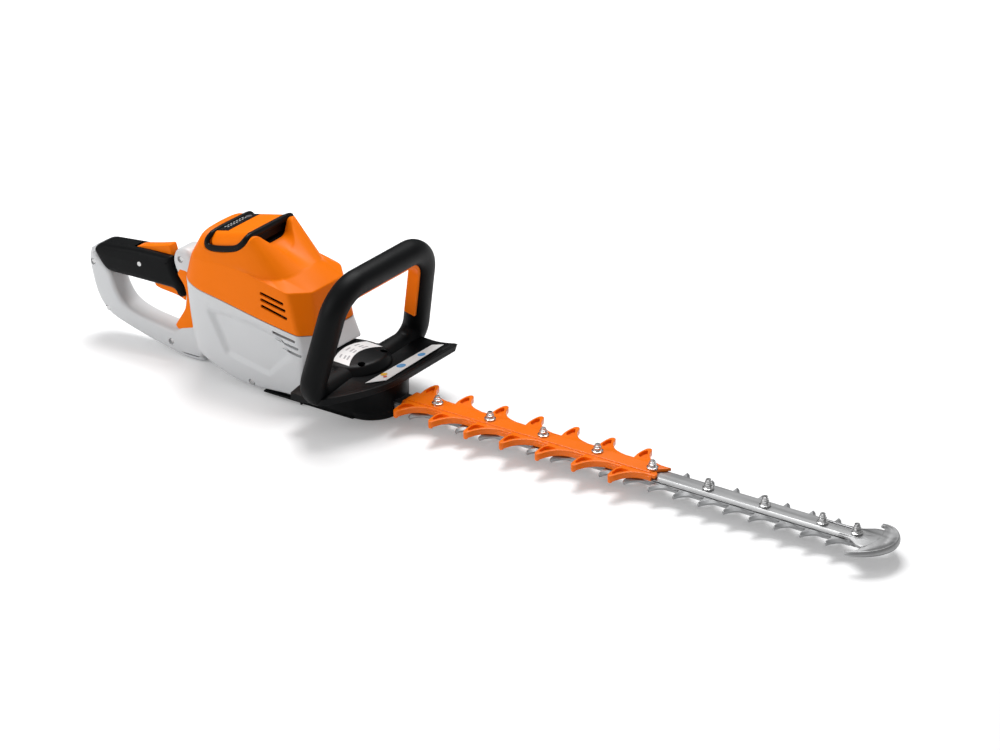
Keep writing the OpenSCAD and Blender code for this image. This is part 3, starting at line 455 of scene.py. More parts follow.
def ground_group():
    """Surface of ground metal: long fine scratches along one axis and a slow cloudiness."""
    if "Ground surface" in bpy.data.node_groups:
        return bpy.data.node_groups["Ground surface"]
    group, given, out = new_group(
        "Ground surface",
        [("Stretch", VECTOR, (1.0, 1.0, 1.0)), ("Scratch height", FLOAT, 0.1),
         ("Colour", COLOUR, MIDDLE_GREY), ("Cloud", FLOAT, 0.08), ("Rough low", FLOAT, 0.25), ("Rough high", FLOAT, 0.4)])
    place = add_node(group, "TexCoord").outputs["Object"]
    drawn = add_node(group, "VectorMath", {0: place, 1: given["Stretch"]}, "MULTIPLY").outputs["Vector"]
    scratch = add_node(group, "TexNoise", {"Vector": drawn, "Scale": 160, "Detail": 5}).outputs["Fac"]
    cloud = add_node(group, "TexNoise", {"Vector": place, "Scale": 40, "Detail": 3}).outputs["Fac"]
    dark = add_node(group, "Math", {0: 1.0, 1: given["Cloud"]}, "SUBTRACT").outputs[0]
    relief = (scratch, given["Scratch height"], 0.0003)
    finish_group(group, given, out, relief, (cloud, dark, 1.05), (scratch, 0.35, 0.65))
    return group


def surface_material(name, group, tint, rough, values, metallic=0.0, coat=0.0, specular=0.5):
    """A Principled material fed by one of the surface groups."""
    if name in bpy.data.materials:
        return bpy.data.materials[name]
    material = bpy.data.materials.new(name)
    material.use_nodes = True
    material.diffuse_color = (*tint, 1)
    nodes, links = material.node_tree.nodes, material.node_tree.links
    shader = nodes["Principled BSDF"]
    shader.inputs["Metallic"].default_value = metallic
    shader.inputs["Coat Weight"].default_value = coat
    shader.inputs["Coat Roughness"].default_value = 0.2
    shader.inputs["Specular IOR Level"].default_value = specular
    surface = nodes.new("ShaderNodeGroup")
    surface.node_tree = group
    surface.inputs["Colour"].default_value = (*tint, 1)
    surface.inputs["Rough low"].default_value = rough[0]
    surface.inputs["Rough high"].default_value = rough[1]
    for label, value in values.items():
        surface.inputs[label].default_value = value
    links.new(surface.outputs["Colour"], shader.inputs["Base Color"])
    links.new(surface.outputs["Roughness"], shader.inputs["Roughness"])
    links.new(surface.outputs["Normal"], shader.inputs["Normal"])
    return material


def moulded(name, tint, rough=(0.32, 0.42), grain=900.0, height=0.12, mottle=0.02, **more):
    """A moulded plastic or rubber finish."""
    values = {"Grain size": grain, "Grain height": height, "Mottle": mottle}
    return surface_material(name, moulded_group(), tint, rough, values, **more)


def ground(name, tint, rough=(0.25, 0.42), along=(0.05, 1.0, 1.0), height=0.15, cloud=0.1, **more):
    """A ground or brushed metal finish whose scratches run along the axis with the small stretch."""
    values = {"Stretch": along, "Scratch height": height, "Cloud": cloud}
    return surface_material(name, ground_group(), tint, rough, values, metallic=1.0, **more)


def tints():
    """The colour settings of the scene."""
    return bpy.context.scene.trimmer_colours


def orange_plastic():
    return moulded("Orange plastic", tuple(tints().orange), (0.34, 0.44), 1100.0, 0.10, 0.015, specular=0.10)


def guard_plastic():
    return moulded("Guard plastic", tuple(tints().guard), (0.22, 0.32), 700.0, 0.06, 0.03, specular=0.3)


def white_plastic():
    return moulded("White plastic", tuple(tints().white), (0.34, 0.44), 1000.0, 0.14, 0.012)


def black_plastic():
    return moulded("Black plastic", tuple(tints().black), (0.34, 0.46), 800.0, 0.16, 0.08, specular=0.12)


def grip_rubber():
    return moulded("Grip rubber", tuple(tints().rubber), (0.40, 0.52), 1300.0, 0.22, 0.10, specular=0.11)


def pocket_black():
    return moulded("Pocket black", (0.004, 0.004, 0.0045), (0.55, 0.7), 900.0, 0.1, 0.05, specular=0.2)


def blade_steel():
    return ground("Blade steel", tuple(tints().steel), (0.32, 0.44), (0.6, 0.05, 1.0), 0.10, 0.10)


def rail_metal():
    return ground("Rail aluminium", (0.33, 0.332, 0.335), (0.36, 0.48), (0.04, 1.0, 1.0), 0.12, 0.06)


def bright_steel():
    return ground("Plated steel", (0.60, 0.60, 0.60), (0.16, 0.30), (1.0, 1.0, 1.0), 0.08, 0.12)


def dull_steel():
    return ground("Gear steel", (0.34, 0.34, 0.35), (0.30, 0.50), (1.0, 1.0, 0.1), 0.12, 0.15)


def label_stock():
    """Pale label stock without print."""
    return moulded("Label stock", tuple(tints().label), (0.35, 0.45), 500.0, 0.03, 0.01)


def print_ink(name, tint):
    return moulded(name, tint, (0.4, 0.5), 500.0, 0.03, 0.02)


# ---------------------------------------------------------------- hood

# Half of the hood's rows, from the front middle round the near side to the rear middle
SEAM_ROW = [(-36.5, 0, 92.5), (-36.6, -10, 92.5), (-36.8, -20, 92.5), (-37, -30, 92.5), (-37.6, -36, 92.6),
            (-53, -53.5, 93.8), (-95, -54.5, 99.8), (-131, -54.5, 106), (-170, -54, 112.8), (-204, -55, 118.2),
            (-222, -50, 127), (-226, -33, 132), (-226, 0, 134)]
SHELF_ROW = [(-45, 0, 144.8), (-45.6, -8, 144.5), (-46.3, -16, 144.1), (-47.2, -25, 143.5), (-48, -30, 143.1),
             (-68, -53.4, 144.7), (-98.6, -54, 151.3), (-131, -54.2, 157.4), (-165, -53.8, 158), (-196, -54, 157),
             (-214, -50, 156), (-219, -33, 155), (-219, 0, 155)]
BASE_ROW = [(-71, 0, 160), (-71.3, -8, 159.7), (-72.5, -16, 158.8), (-75, -25.4, 157), (-79.5, -34, 155),
            (-88, -43.5, 153), (-108, -50.5, 152), (-132, -53.8, 158.6), (-165, -53.2, 160), (-195, -53, 160),
            (-212, -49, 160), (-218, -33, 160), (-218, 0, 160)]
CREST_ROW = [(-104.3, 0, 171.2), (-104.4, -8, 173.6), (-107.9, -16.3, 180.7), (-118.5, -25.8, 190.8),
             (-124.7, -34, 199.2), (-127, -44.5, 195.5), (-137, -49, 181.4), (-157, -50, 172.6),
             (-177, -50, 169.2), (-193, -51, 170.8), (-202, -46.5, 178), (-204, -33, 186), (-204, 0, 187.5)]
INNER_ROW = [(-128, 0, 178), (-128, -12, 178), (-128.2, -22, 178.8), (-130, -28, 187.4),
             (-131, -33, 196.5), (-131, -42.5, 194), (-139, -46.6, 183), (-157, -47.6, 174.2),
             (-176, -47.6, 170.8), (-188.6, -46.2, 172.4), (-195, -41.5, 179), (-196.8, -30, 185.4),
             (-197.2, 0, 186.8)]
AXIS_X = -130.0
SIDE_SLOTS = [((-106.6, 136.7), (-72.6, 130.0)), ((-106.0, 128.8), (-69.6, 121.9)),
              ((-105.4, 120.9), (-67.4, 112.6))]


def full_ring(half):
    """A half ring and its mirror image as one closed ring."""
    half = np.asarray(half, float)
    return np.concatenate([half, half[-2:0:-1] * [1, -1, 1]])


def shrunk(row, distance, drop=0.0):
    """A row moved towards the body's upright axis, and down."""
    plan = row[:, :2] - [AXIS_X, 0]
    plan /= np.linalg.norm(plan, axis=1, keepdims=True)
    return row - np.c_[plan * distance, np.full(len(row), drop)]


def hood_surface():
    """The hood as a closed shell.

    Rows of points go up the outside from the seam over shelf and tower to the crest, down the opening and
    back along the inner wall; the surface rounds both the rows and the columns of that net.
    """
    half = [np.asarray(r, float) for r in (SEAM_ROW, SHELF_ROW, BASE_ROW, CREST_ROW, INNER_ROW)]
    seam, shelf, base, crest, inner = [full_ring(r) for r in half]
    seam = seam + [0, 0, 0.5]
    well = inner + [3.0, 0, -13.7]
    rows = [shrunk(seam, 2.6), seam, shelf, base, crest, inner, well, shrunk(base, 4.5, 3),
            shrunk(shelf, 3.5, 2)]
    points = np.stack(rows, 1)
    count = len(seam)
    front = np.abs((np.arange(count) + count // 2) % count - count // 2)
    crisp = front <= 6
    cut_u = np.full(points.shape[:2], 99.0)
    for station, size in ((4, 3.5), (5, 4.5)):
        cut_u[front == station, 0:3] = size
    cut_v = np.full(points.shape[:2], 1.2)
    cut_v[:, 2] = np.where(crisp, 1.6, 12)
    cut_v[:, 3] = np.where(front <= 5, 2.5, np.where(crisp, 3.0, 10))
    cut_v[:, 4] = np.where(front <= 3, 2.0, 1.6)
    surface = net(points, cut_u, cut_v, closed_u=True, closed_v=True, steps=7)
    return grid(surface, wrap_u=True, wrap_v=True)


class TRIMMER_OT_hood(bpy.types.Operator):
    """Builds the orange hood with its shelf, tower, finger scoop and cooling slots"""

    bl_idname = "trimmer.hood"
    bl_label = "Hood"

    def execute(self, context):
        hood = piece("hood_shell", hood_surface(), "machine", orange_plastic(), ["hood"], 28)
        height = context.scene.trimmer_sizes.slot_height / MM
        slots = [box_between(a, b, height, -60, -45) for a, b in SIDE_SLOTS]
        carve(hood, both(join(*slots)), 28)
        return {"FINISHED"}


# ---------------------------------------------------------------- body

BODY_TOP = [(-36.5, 0, 91.6), (-36.6, -12, 91.6), (-36.8, -24, 91.6), (-37.6, -36, 91.7),
            (-53, -53.5, 92.9), (-95, -54.5, 98.9), (-131, -54.5, 105.1), (-170, -54, 111.9),
            (-204, -55, 117.3), (-222, -50, 126.1), (-226, -33, 131.1), (-226, 0, 133.1)]
BODY_LEDGE = [(-26, 0, 70), (-26, -12, 70), (-25.5, -24, 70), (-24.5, -34, 70),
              (-49, -51.8, 70), (-95, -52.6, 70), (-131, -52.6, 72), (-170, -52.2, 76),
              (-202, -54, 80), (-218, -49, 84), (-222, -33, 86), (-222, 0, 87)]
BODY_BELT = [(-46, 0, 68.8), (-46, -12, 68.8), (-46, -24, 68.8), (-46, -34, 68.8),
             (-50.5, -49.5, 42), (-95, -50.5, 36), (-131, -50.5, 34), (-168, -50, 38),
             (-198, -52, 46), (-215, -47, 52), (-219, -31, 56), (-219, 0, 57)]
BODY_KEEL = [(-60, 0, 60), (-60, -12, 60), (-60, -24, 60), (-60, -34, 58),
             (-55, -45.8, 23), (-95, -46.6, 17), (-131, -46.4, 13.5), (-164, -45.8, 17),
             (-192, -47.5, 25), (-211, -44, 31), (-216, -30, 35), (-216, 0, 36)]
BODY_FOOT = [(-66, 0, 14), (-66, -12, 13), (-66, -24, 12), (-66, -34, 11.5),
             (-67, -43.2, 9.8), (-95, -43.4, 8.6), (-131, -42.6, 5.4), (-162, -42, 8.6),
             (-184, -41, 19), (-202, -37, 27), (-207, -26, 31), (-207.5, 0, 32)]
BODY_UNDER = [(-70, 0, 11), (-70, -12, 11), (-70, -18, 10.4), (-70, -24, 9.8),
              (-74, -30, 9.2), (-95, -30, 8.4), (-131, -30, 5.2), (-158, -30, 8),
              (-178, -28, 17), (-192, -22, 24), (-196, -15, 27), (-197, 0, 28)]
# Corners of the recess in the body's side: (x, z), clockwise seen from the near side
PANEL = [(-189, 97.5), (-163.5, 41), (-99, 28.5), (-64.5, 63), (-76, 86.5), (-125, 97)]
WHITE_SLOTS = [((-90.5, 91.0), (-57.0, 85.6)), ((-80.0, 80.9), (-53.0, 76.8)), ((-69.5, 71.6), (-49.6, 68.0))]
SLOT_RAMPS = [((-97.0, 92.4), (-89.5, 90.4)), ((-86.6, 82.4), (-79.0, 80.3)), ((-76.2, 73.2), (-68.5, 71.0))]
SIDE_SCREW = (-128.5, 12.6)
# Boss round a standoff of the circuit board: radius and height above its foot
BOARD_BOSS = [(3.0, 0), (3.7, 0.7), (4.4, 22)]
BOARD_BOSS_FOOT = (-192, -26, 10.0)


def recess(points, depth, bevel):
    """Pushes side points inwards inside the panel outline.

    The depth grows from nought at the outline to the full depth one bevel's width inside it.
    """
    corners = np.array(PANEL)
    x, y, z = points[..., 0], points[..., 1], points[..., 2]
    inside = np.full(x.shape, 1e9)
    for a, b in zip(corners, np.roll(corners, -1, 0)):
        along = (b - a) / np.linalg.norm(b - a)
        distance = (x - a[0]) * -along[1] + (z - a[1]) * along[0]
        inside = np.minimum(inside, distance)
    t = np.clip(inside / bevel, 0, 1)
    side = np.abs(y) > 40
    moved = np.where(side, np.sign(y) * depth * t, 0)
    return np.stack([x, y - moved, z], -1)


def body_surface(depth):
    """The body's two shells as one closed skin, with the panel recess pressed into both sides."""
    rows = [full_ring(r) for r in (BODY_TOP, BODY_LEDGE, BODY_BELT, BODY_KEEL, BODY_FOOT, BODY_UNDER)]
    top = rows[0]
    rim = top + [0, 0, 0.7]
    inner = shrunk(rim, 2.6)
    deep = shrunk(top, 4.0, 9)
    points = np.stack([deep, inner, rim, top] + rows[1:], 1)
    count = len(top)
    front = np.abs((np.arange(count) + count // 2) % count - count // 2)
    cut_u = np.full(points.shape[:2], 60.0)
    for station, size in ((3, 3.5), (4, 5.0)):
        cut_u[front == station] = size
    cut_v = np.full(points.shape[:2], 0.8)
    cut_v[:, 4] = np.where(front <= 3, 2.5, 16)
    cut_v[:, 5] = np.where(front <= 3, 1.5, 14)
    cut_v[:, 6] = 9
    cut_v[:, 7] = 4
    surface = net(points, cut_u, cut_v, closed_u=True, steps=6)
    surface = refine(np.swapaxes(surface, 0, 1), 3)
    surface = refine(np.swapaxes(surface, 0, 1), 3, True)
    surface = recess(surface, depth, 6.5)
    under = grid(surface, wrap_u=True)
    columns = surface.shape[1]
    loop = [i * columns + columns - 1 for i in range(surface.shape[0])]
    lid = [i * columns for i in range(surface.shape[0])]
    return under[0], under[1] + [loop, lid[::-1]]


class TRIMMER_OT_body(bpy.types.Operator):
    """Builds the white body shells with their recessed side panels and cooling slots"""

    bl_idname = "trimmer.body"
    bl_label = "Body shells"

    def execute(self, context):
        sizes = context.scene.trimmer_sizes
        surface = body_surface(sizes.panel_depth / MM)
        body = piece("body_shells", surface, "machine", white_plastic(),
                     ["body_shell_right", "body_shell_left"], 30)
        height = sizes.slot_height / MM - 0.7
        cuts = [box_between(a, b, height, -60, -46) for a, b in WHITE_SLOTS]
        cuts += [disc((SIDE_SCREW[0], -60, SIDE_SCREW[1]), (0, 1, 0), 4.6, 17.5)]
        carve(body, both(join(*cuts)), 30)
        boss = revolve(BOARD_BOSS, BOARD_BOSS_FOOT)
        piece("board_bosses", both(boss), "machine", white_plastic(), (), 40)
        ramps = [box_between(a, b, 1.2, -53.3, -51.5) for a, b in SLOT_RAMPS]
        piece("slot_leads", both(join(*ramps)), "machine", white_plastic())
        head = disc((SIDE_SCREW[0], -42.6, SIDE_SCREW[1]), (0, -1, 0), 3.6, 2.2)
        piece("body_screws", both(head), "machine", bright_steel(), ["housing_screws"])
        return {"FINISHED"}


# ---------------------------------------------------------------- rear handle

HANDLE = [(-386, 114.5), (-393, 112.5), (-398.5, 103), (-398.2, 89), (-390.5, 57), (-380, 38.5), (-365, 27),
          (-322, 14.5), (-278, 5.5), (-254, 0.6), (-230, 0.6), (-222, 4), (-222, 116), (-234, 120),
          (-234.5, 130), (-239, 138.5), (-247, 143.3), (-256, 143.2), (-264, 138), (-267.8, 129), (-266.5, 119),
          (-261, 108), (-253, 97), (-250, 86), (-252, 70), (-256, 52), (-264, 32), (-318, 38), (-345, 46),
          (-357.5, 62), (-366, 84), (-374, 92), (-386, 103)]
HANDLE_CUTS = [2, 5, 7, 12, 14, 10, 12, 24, 24, 8, 6, 3, 3, 3, 4, 4, 4, 4, 4, 5, 5, 6, 5, 3, 8, 8, 9, 12, 14, 14,
               5, 4, 3]
GRIP = [(-389, 113), (-391, 108), (-380, 92.5), (-371, 84.8), (-352, 84.8), (-337, 85.5), (-304, 86),
        (-268, 86.6), (-258, 77), (-251.5, 82), (-255, 92), (-264.5, 105), (-270, 116), (-272.5, 127),
        (-300, 126.4), (-327, 125), (-380, 119.6)]
GRIP_CUTS = [2, 4, 9, 7, 9, 9, 10, 4, 2, 2.5, 8, 8, 6, 2, 9, 12, 8]
HANDLE_SCREWS = [(-391, 93), (-371, 36), (-273, 17), (-255, 129)]
GRIP_SCREW = (-318, 108)
# Half thickness across the handle of its pieces and of the grip's mouths
HANDLE_HALF, GRIP_HALF, BRIDGE_HALF, LEVER_HALF, MOUTH_HALF = 16.6, 17.2, 16.9, 7.0, 7.5


def outline(points, cuts, steps=6):
    """A closed outline with rounded corners, counter-clockwise."""
    flat = np.c_[np.array(points, float), np.zeros(len(points))]
    curve = bend(flat, np.array(cuts, float), True, steps)[:, :2]
    keep = np.linalg.norm(curve - np.roll(curve, 1, 0), axis=1) > 0.02
    curve = curve[keep]
    ahead = np.roll(curve, -1, 0)
    area = (curve[:, 0] * ahead[:, 1] - ahead[:, 0] * curve[:, 1]).sum()
    return curve if area > 0 else curve[::-1]


def neck_surface():
    """The neck between rear handle and body: rounded rectangles that widen towards the body."""
    stations = np.array([(-246, 15.5, 6, 108), (-238, 16.6, 4, 114), (-230, 21, 5, 117), (-222, 31, 9, 120),
                         (-214, 40, 17, 124), (-206, 44, 24, 122)])
    loops = []
    for x, half, low, high in stations:
        section = ellipse_section(half, (high - low) / 2, 5.0, 72)
        loops.append(np.c_[np.full(len(section), x), section[:, 0], section[:, 1] + (high + low) / 2])
    loops = bend(np.stack(loops), 8.0, False, 5)
    return grid(loops, wrap_v=True, cap_u=True)


class TRIMMER_OT_rear_handle(bpy.types.Operator):
    """Builds the white rear handle with its neck, screws and orange bridge"""

    bl_idname = "trimmer.rear_handle"
    bl_label = "Rear handle"

    def execute(self, context):
        edge = context.scene.trimmer_sizes.handle_edge / MM
        ring = plate(outline(HANDLE, HANDLE_CUTS), -HANDLE_HALF, HANDLE_HALF, edge, 7)
        handle = piece("handle_shells", ring, "machine", white_plastic(),
                       ["handle_shell_right", "handle_shell_left"], 40)
        sockets = [disc((x, -20, z), (0, 1, 0), 4.2, 6.0) for x, z in HANDLE_SCREWS]
        carve(handle, both(join(*sockets)), 40)
        piece("handle_neck", neck_surface(), "machine", white_plastic(), (), 40)
        heads = [disc((x, -14.2, z), (0, -1, 0), 3.0, 0.9) for x, z in HANDLE_SCREWS]
        heads.append(disc((GRIP_SCREW[0], -16.4, GRIP_SCREW[1]), (0, -1, 0), 3.2, 1.6, edge=0.9))
        piece("handle_screw_heads", both(join(*heads)), "machine", bright_steel(),
              ["handle_screws"])
        bridge = plate(outline([(-257, 117), (-246, 117), (-236, 108), (-236, 44), (-262, 36), (-266, 41),
                                (-250, 66), (-247, 84), (-250.5, 96), (-261, 109)],
                               [2, 3, 4, 4, 2, 1.5, 6, 6, 5, 3]), -BRIDGE_HALF, BRIDGE_HALF, 2.0, 4)
        piece("bridge_inlay", bridge, "machine", orange_plastic(), ["rear_bridge"], 40)
        return {"FINISHED"}


class TRIMMER_OT_grip(bpy.types.Operator):
    """Builds the black soft grip with its mouths for trigger and lockout lever"""

    bl_idname = "trimmer.grip"
    bl_label = "Rear grip"

    def execute(self, context):
        edge = context.scene.trimmer_sizes.grip_edge / MM
        block = plate(outline(GRIP, GRIP_CUTS), -GRIP_HALF, GRIP_HALF, edge, 8)
        grip = piece("soft_grip", block, "machine", grip_rubber(),
                     ["grip_right", "grip_left"], 40)
        mouth = plate(outline([(-311, 70), (-250, 66), (-248, 88), (-258, 106), (-311, 106)], [1] * 5),
                      -MOUTH_HALF, MOUTH_HALF, 0.1, 2)
        top = plate(outline([(-333, 112.5), (-271, 118), (-268, 150), (-333, 150)], [1] * 4),
                    -MOUTH_HALF, MOUTH_HALF, 0.1, 2)
        carve(grip, join(mouth, top), 40)
        return {"FINISHED"}


class TRIMMER_OT_levers(bpy.types.Operator):
    """Builds the orange trigger and lockout lever"""

    bl_idname = "trimmer.levers"
    bl_label = "Trigger and lockout lever"

    def execute(self, context):
        trigger = plate(outline([(-305, 87.5), (-303.5, 79.5), (-296, 77.2), (-280, 76), (-266, 74.5),
                                 (-257, 70.6), (-253.4, 73), (-258, 88), (-261, 100), (-271, 101.5), (-285, 92)],
                                [2, 3, 5, 8, 8, 3, 2, 8, 3, 3, 4]), -LEVER_HALF, LEVER_HALF, 2.2, 5)
        piece("trigger_lever", trigger, "trigger", orange_plastic(), ["trigger"], 45)
        lever = plate(outline([(-331, 116.5), (-330, 124.2), (-322, 127.6), (-300, 132.6), (-279, 138.6),
                               (-276, 130), (-275.6, 123.5), (-300, 119.2), (-320, 114.5)],
                              [2, 2, 8, 12, 1.6, 4, 2, 8, 3]), -LEVER_HALF, LEVER_HALF, 1.6, 5)
        piece("lockout_cap", lever, "lockout_lever", orange_plastic(), ["lockout_lever"], 45)
        return {"FINISHED"}


# ---------------------------------------------------------------- front handle

# The loop's middle line: half widths at top and foot, height, and the two bends
LOOP_TOP_HALF, LOOP_FOOT_HALF, LOOP_HEIGHT = 84, 107, 157
LOOP_CORNER, LOOP_FOOT_RADIUS, LOOP_FOOT = 40, 24, 18


def arc(centre, radius, start, end, count):
    """Points of an arc in the loop's plane, angles in radians."""
    a = np.linspace(start, end, count)
    return np.stack([centre[0] + radius * np.cos(a), centre[1] + radius * np.sin(a)], -1)


def loop_path():
    """Middle line of the loop: two top bends, two leaning legs and two foot bends, with straight runs."""
    lean = math.atan2(LOOP_HEIGHT, LOOP_FOOT_HALF - LOOP_TOP_HALF)
    foot_half = LOOP_FOOT_HALF - LOOP_FOOT / math.tan(lean)
    top = LOOP_CORNER * math.tan(lean / 2)
    foot = LOOP_FOOT_RADIUS * (1 + math.cos(lean)) / math.sin(lean)
    half = [arc((-LOOP_TOP_HALF + top, LOOP_HEIGHT - LOOP_CORNER), LOOP_CORNER, math.pi / 2,
                math.pi / 2 + lean, 22),
            arc((-foot_half + foot, LOOP_FOOT + LOOP_FOOT_RADIUS), LOOP_FOOT_RADIUS, math.pi / 2 + lean,
                1.5 * math.pi, 18)]
    near = np.concatenate(half)
    path = np.concatenate([near, near[::-1] * [-1, 1]])
    return in_loop(np.c_[np.zeros(len(path)), path])


# The switch bar's groove: how far from the tube's middle, how high above the foot, half width
GROOVE_DEPTH, GROOVE_FOOT, GROOVE_HALF = 5.6, 61.6, 7.9


def groove_surface():
    """The switch bar's groove: everything inside the loop above the bar's foot, as a flat plate.

    Its outline is the loop's middle line moved inwards, two leaning legs joined by two quarter bends.
    """
    lean = math.atan2(LOOP_HEIGHT, LOOP_FOOT_HALF - LOOP_TOP_HALF)
    centre = (-LOOP_TOP_HALF + LOOP_CORNER * math.tan(lean / 2), LOOP_HEIGHT - LOOP_CORNER)
    corner = arc(centre, LOOP_CORNER - GROOVE_DEPTH, math.pi / 2, math.pi / 2 + lean, 20)
    down = (corner[-1][1] - GROOVE_FOOT) / math.sin(lean)
    near = np.vstack([corner, corner[-1] - down * np.array([math.cos(lean), math.sin(lean)])])
    points, faces = plate(np.vstack([near, near[::-1] * [-1, 1]]), -GROOVE_HALF, GROOVE_HALF, 0.02, 2)
    return in_loop(points[:, [1, 0, 2]]), faces


def shield_surface():
    """The hand shield: for each distance across the machine a closed section with a raised front lip.

    The front edge is straight over the middle and the far side, and curves back towards the near leg.
    """
    y = np.concatenate([np.linspace(-101, -40, 40), np.linspace(-38, 90, 50), [92, 94, 95.5, 96.5]])
    back = np.clip(3 - y, 0, None)
    front = 69.5 - 2.436e-4 * back ** 2.645
    lip = 60.8 - 0.20 * (69.5 - front)
    taper = np.clip((96.8 - y) / 4, 0.15, 1)
    rise = np.clip((np.abs(y) - 45) / 55, 0, 1) ** 2 * 2.0
    ease = np.clip((np.abs(y) - 42) / 22, 0, 1)
    rear = -34 + np.where(y > 0, 30, 6) * ease ** 2 * (3 - 2 * ease)
    sections = []
    for shape in range(len(y)):
        f, top, t, r = front[shape], lip[shape], taper[shape], rear[shape]
        floor = min(54.0, top - 5.5) + rise[shape]
        middle = (f + r) / 2
        sections.append([(r, floor + 1.0), (middle - 8, floor + 0.6), (middle + 6, floor),
                         (f - 15, floor + 2.2), (f - 4.5, top - 0.6), (f, top - 0.4),
                         (f - 0.4, top - 8.6 * t), (f - 5, top - 9.2 * t), (f - 20, floor - 5),
                         (middle, floor - 8), (r, floor - 8)])
    sections = np.array(sections, float)
    cross = np.broadcast_to(y[:, None, None], sections.shape[:2] + (1,))
    points = np.concatenate([sections[..., :1], cross, sections[..., 1:]], -1)
    cuts = np.array([0.5, 12, 12, 9, 1.2, 1.2, 1.5, 2, 9, 10, 0.5])[:, None]
    rounded = bend(np.swapaxes(points, 0, 1), cuts, True, 6)
    return grid(np.swapaxes(rounded, 0, 1), wrap_v=True, cap_u=True)


# The hump's middle, radius and highest level
HUMP_X, HUMP_R, HUMP_TOP = -13.0, 47.0, 68.3


def hump_height(x, y):
    """Height of the hump's top: highest at the rear middle and falling to the front and the sides."""
    return HUMP_TOP - 0.0030 * y ** 2 - 0.045 * np.clip(x + 12, 0, None)


def hump_surface():
    """The hump over the gearbox: rings round an upright axis, flat on top with a sloping shoulder."""
    a = np.linspace(0, 2 * math.pi, 120, endpoint=False)
    rings = []
    for radius, drop in ((0.0, 0), (14, 0), (28, 0), (38, 0), (41.5, 1.0), (45.5, 5.5), (HUMP_R, 9.5),
                         (HUMP_R, 18)):
        x = HUMP_X + radius * np.cos(a)
        y = radius * np.sin(a)
        rings.append(np.stack([x, y, hump_height(x, y) - drop], -1))
    points = bend(np.stack(rings), np.array([0, 9, 9, 2.5, 2, 2, 1.5, 0])[:, None], False, 5)
    verts, faces = grid(points, wrap_v=True)
    last = (points.shape[0] - 1) * points.shape[1]
    faces.append(list(range(last, last + points.shape[1])))
    return verts, faces


class TRIMMER_OT_front_handle(bpy.types.Operator):
    """Builds the front loop, the hand shield and the gearbox hump"""

    bl_idname = "trimmer.front_handle"
    bl_label = "Front handle and shield"

    def execute(self, context):
        radius = context.scene.trimmer_sizes.loop_radius / MM
        normal = in_loop([[1.0, 0, 0]])[0] - in_loop([[0.0, 0, 0]])[0]
        section = ellipse_section(radius, radius, 2.2, 56)
        loop = sweep(loop_path(), section, normal, closed=True)
        tube = piece("front_loop", loop, "machine", grip_rubber(), ["front_handle"], 50)
        carve(tube, groove_surface(), 50)
        piece("hand_shield", shield_surface(), "machine", black_plastic(), (), 40)
        hump = piece("gearbox_hump", hump_surface(), "machine", black_plastic(), (), 40)
        wells = disc((16, -22, 57.4), (0, 0, 1), 4.6, 20, 40)
        carve(hump, both(wells), 40)
        return {"FINISHED"}


# ---------------------------------------------------------------- labels

def on_hump(plan, lift):
    """Plan points laid on the hump."""
    return np.stack([plan[..., 0], plan[..., 1], hump_height(plan[..., 0], plan[..., 1]) + lift], -1)


def band_patch(y_range, x_back, x_front, sag_back, sag_front, lift=0.12, count=24):
    """A curved band across the hump: both edges are parabolas in plan."""
    y = np.linspace(*y_range, count)
    back = x_back + sag_back * (y / 34) ** 2
    front = x_front + sag_front * (y / 34) ** 2
    t = np.linspace(0, 1, 8)[:, None]
    plan = np.stack([back * (1 - t) + front * t, np.broadcast_to(y, (8, count))], -1)
    top, low = on_hump(plan, lift + 0.12), on_hump(plan, lift - 0.35)
    return shell_between(top, low)


def shell_between(top, low):
    """A closed thin sheet between two equal grids."""
    rows, columns = top.shape[:2]
    verts = np.concatenate([top.reshape(-1, 3), low.reshape(-1, 3)])
    faces = faces_of(rows, columns, False, False)
    faces += [f[::-1] for f in faces_of(rows, columns, False, False, rows * columns)]
    index = np.arange(rows * columns).reshape(rows, columns)
    rim = np.concatenate([index[0, :-1], index[:-1, -1], index[-1, :0:-1], index[:0:-1, 0]])
    n = rows * columns
    faces += [[int(a), int(b), int(b) + n, int(a) + n] for a, b in zip(rim, np.roll(rim, -1))]
    return verts, faces


def shield_patch(corners, lift=0.1, count=12):
    """A flat strip on the shield's slope, between four corners (x, y, z)."""
    a, b, c, d = [np.array(p, float) for p in corners]
    s = np.linspace(0, 1, count)[None, :, None]
    t = np.linspace(0, 1, 4)[:, None, None]
    top = (a * (1 - s) + b * s) * (1 - t) + (d * (1 - s) + c * s) * t
    return shell_between(top + [0, 0, lift], top - [0, 0, 0.3])


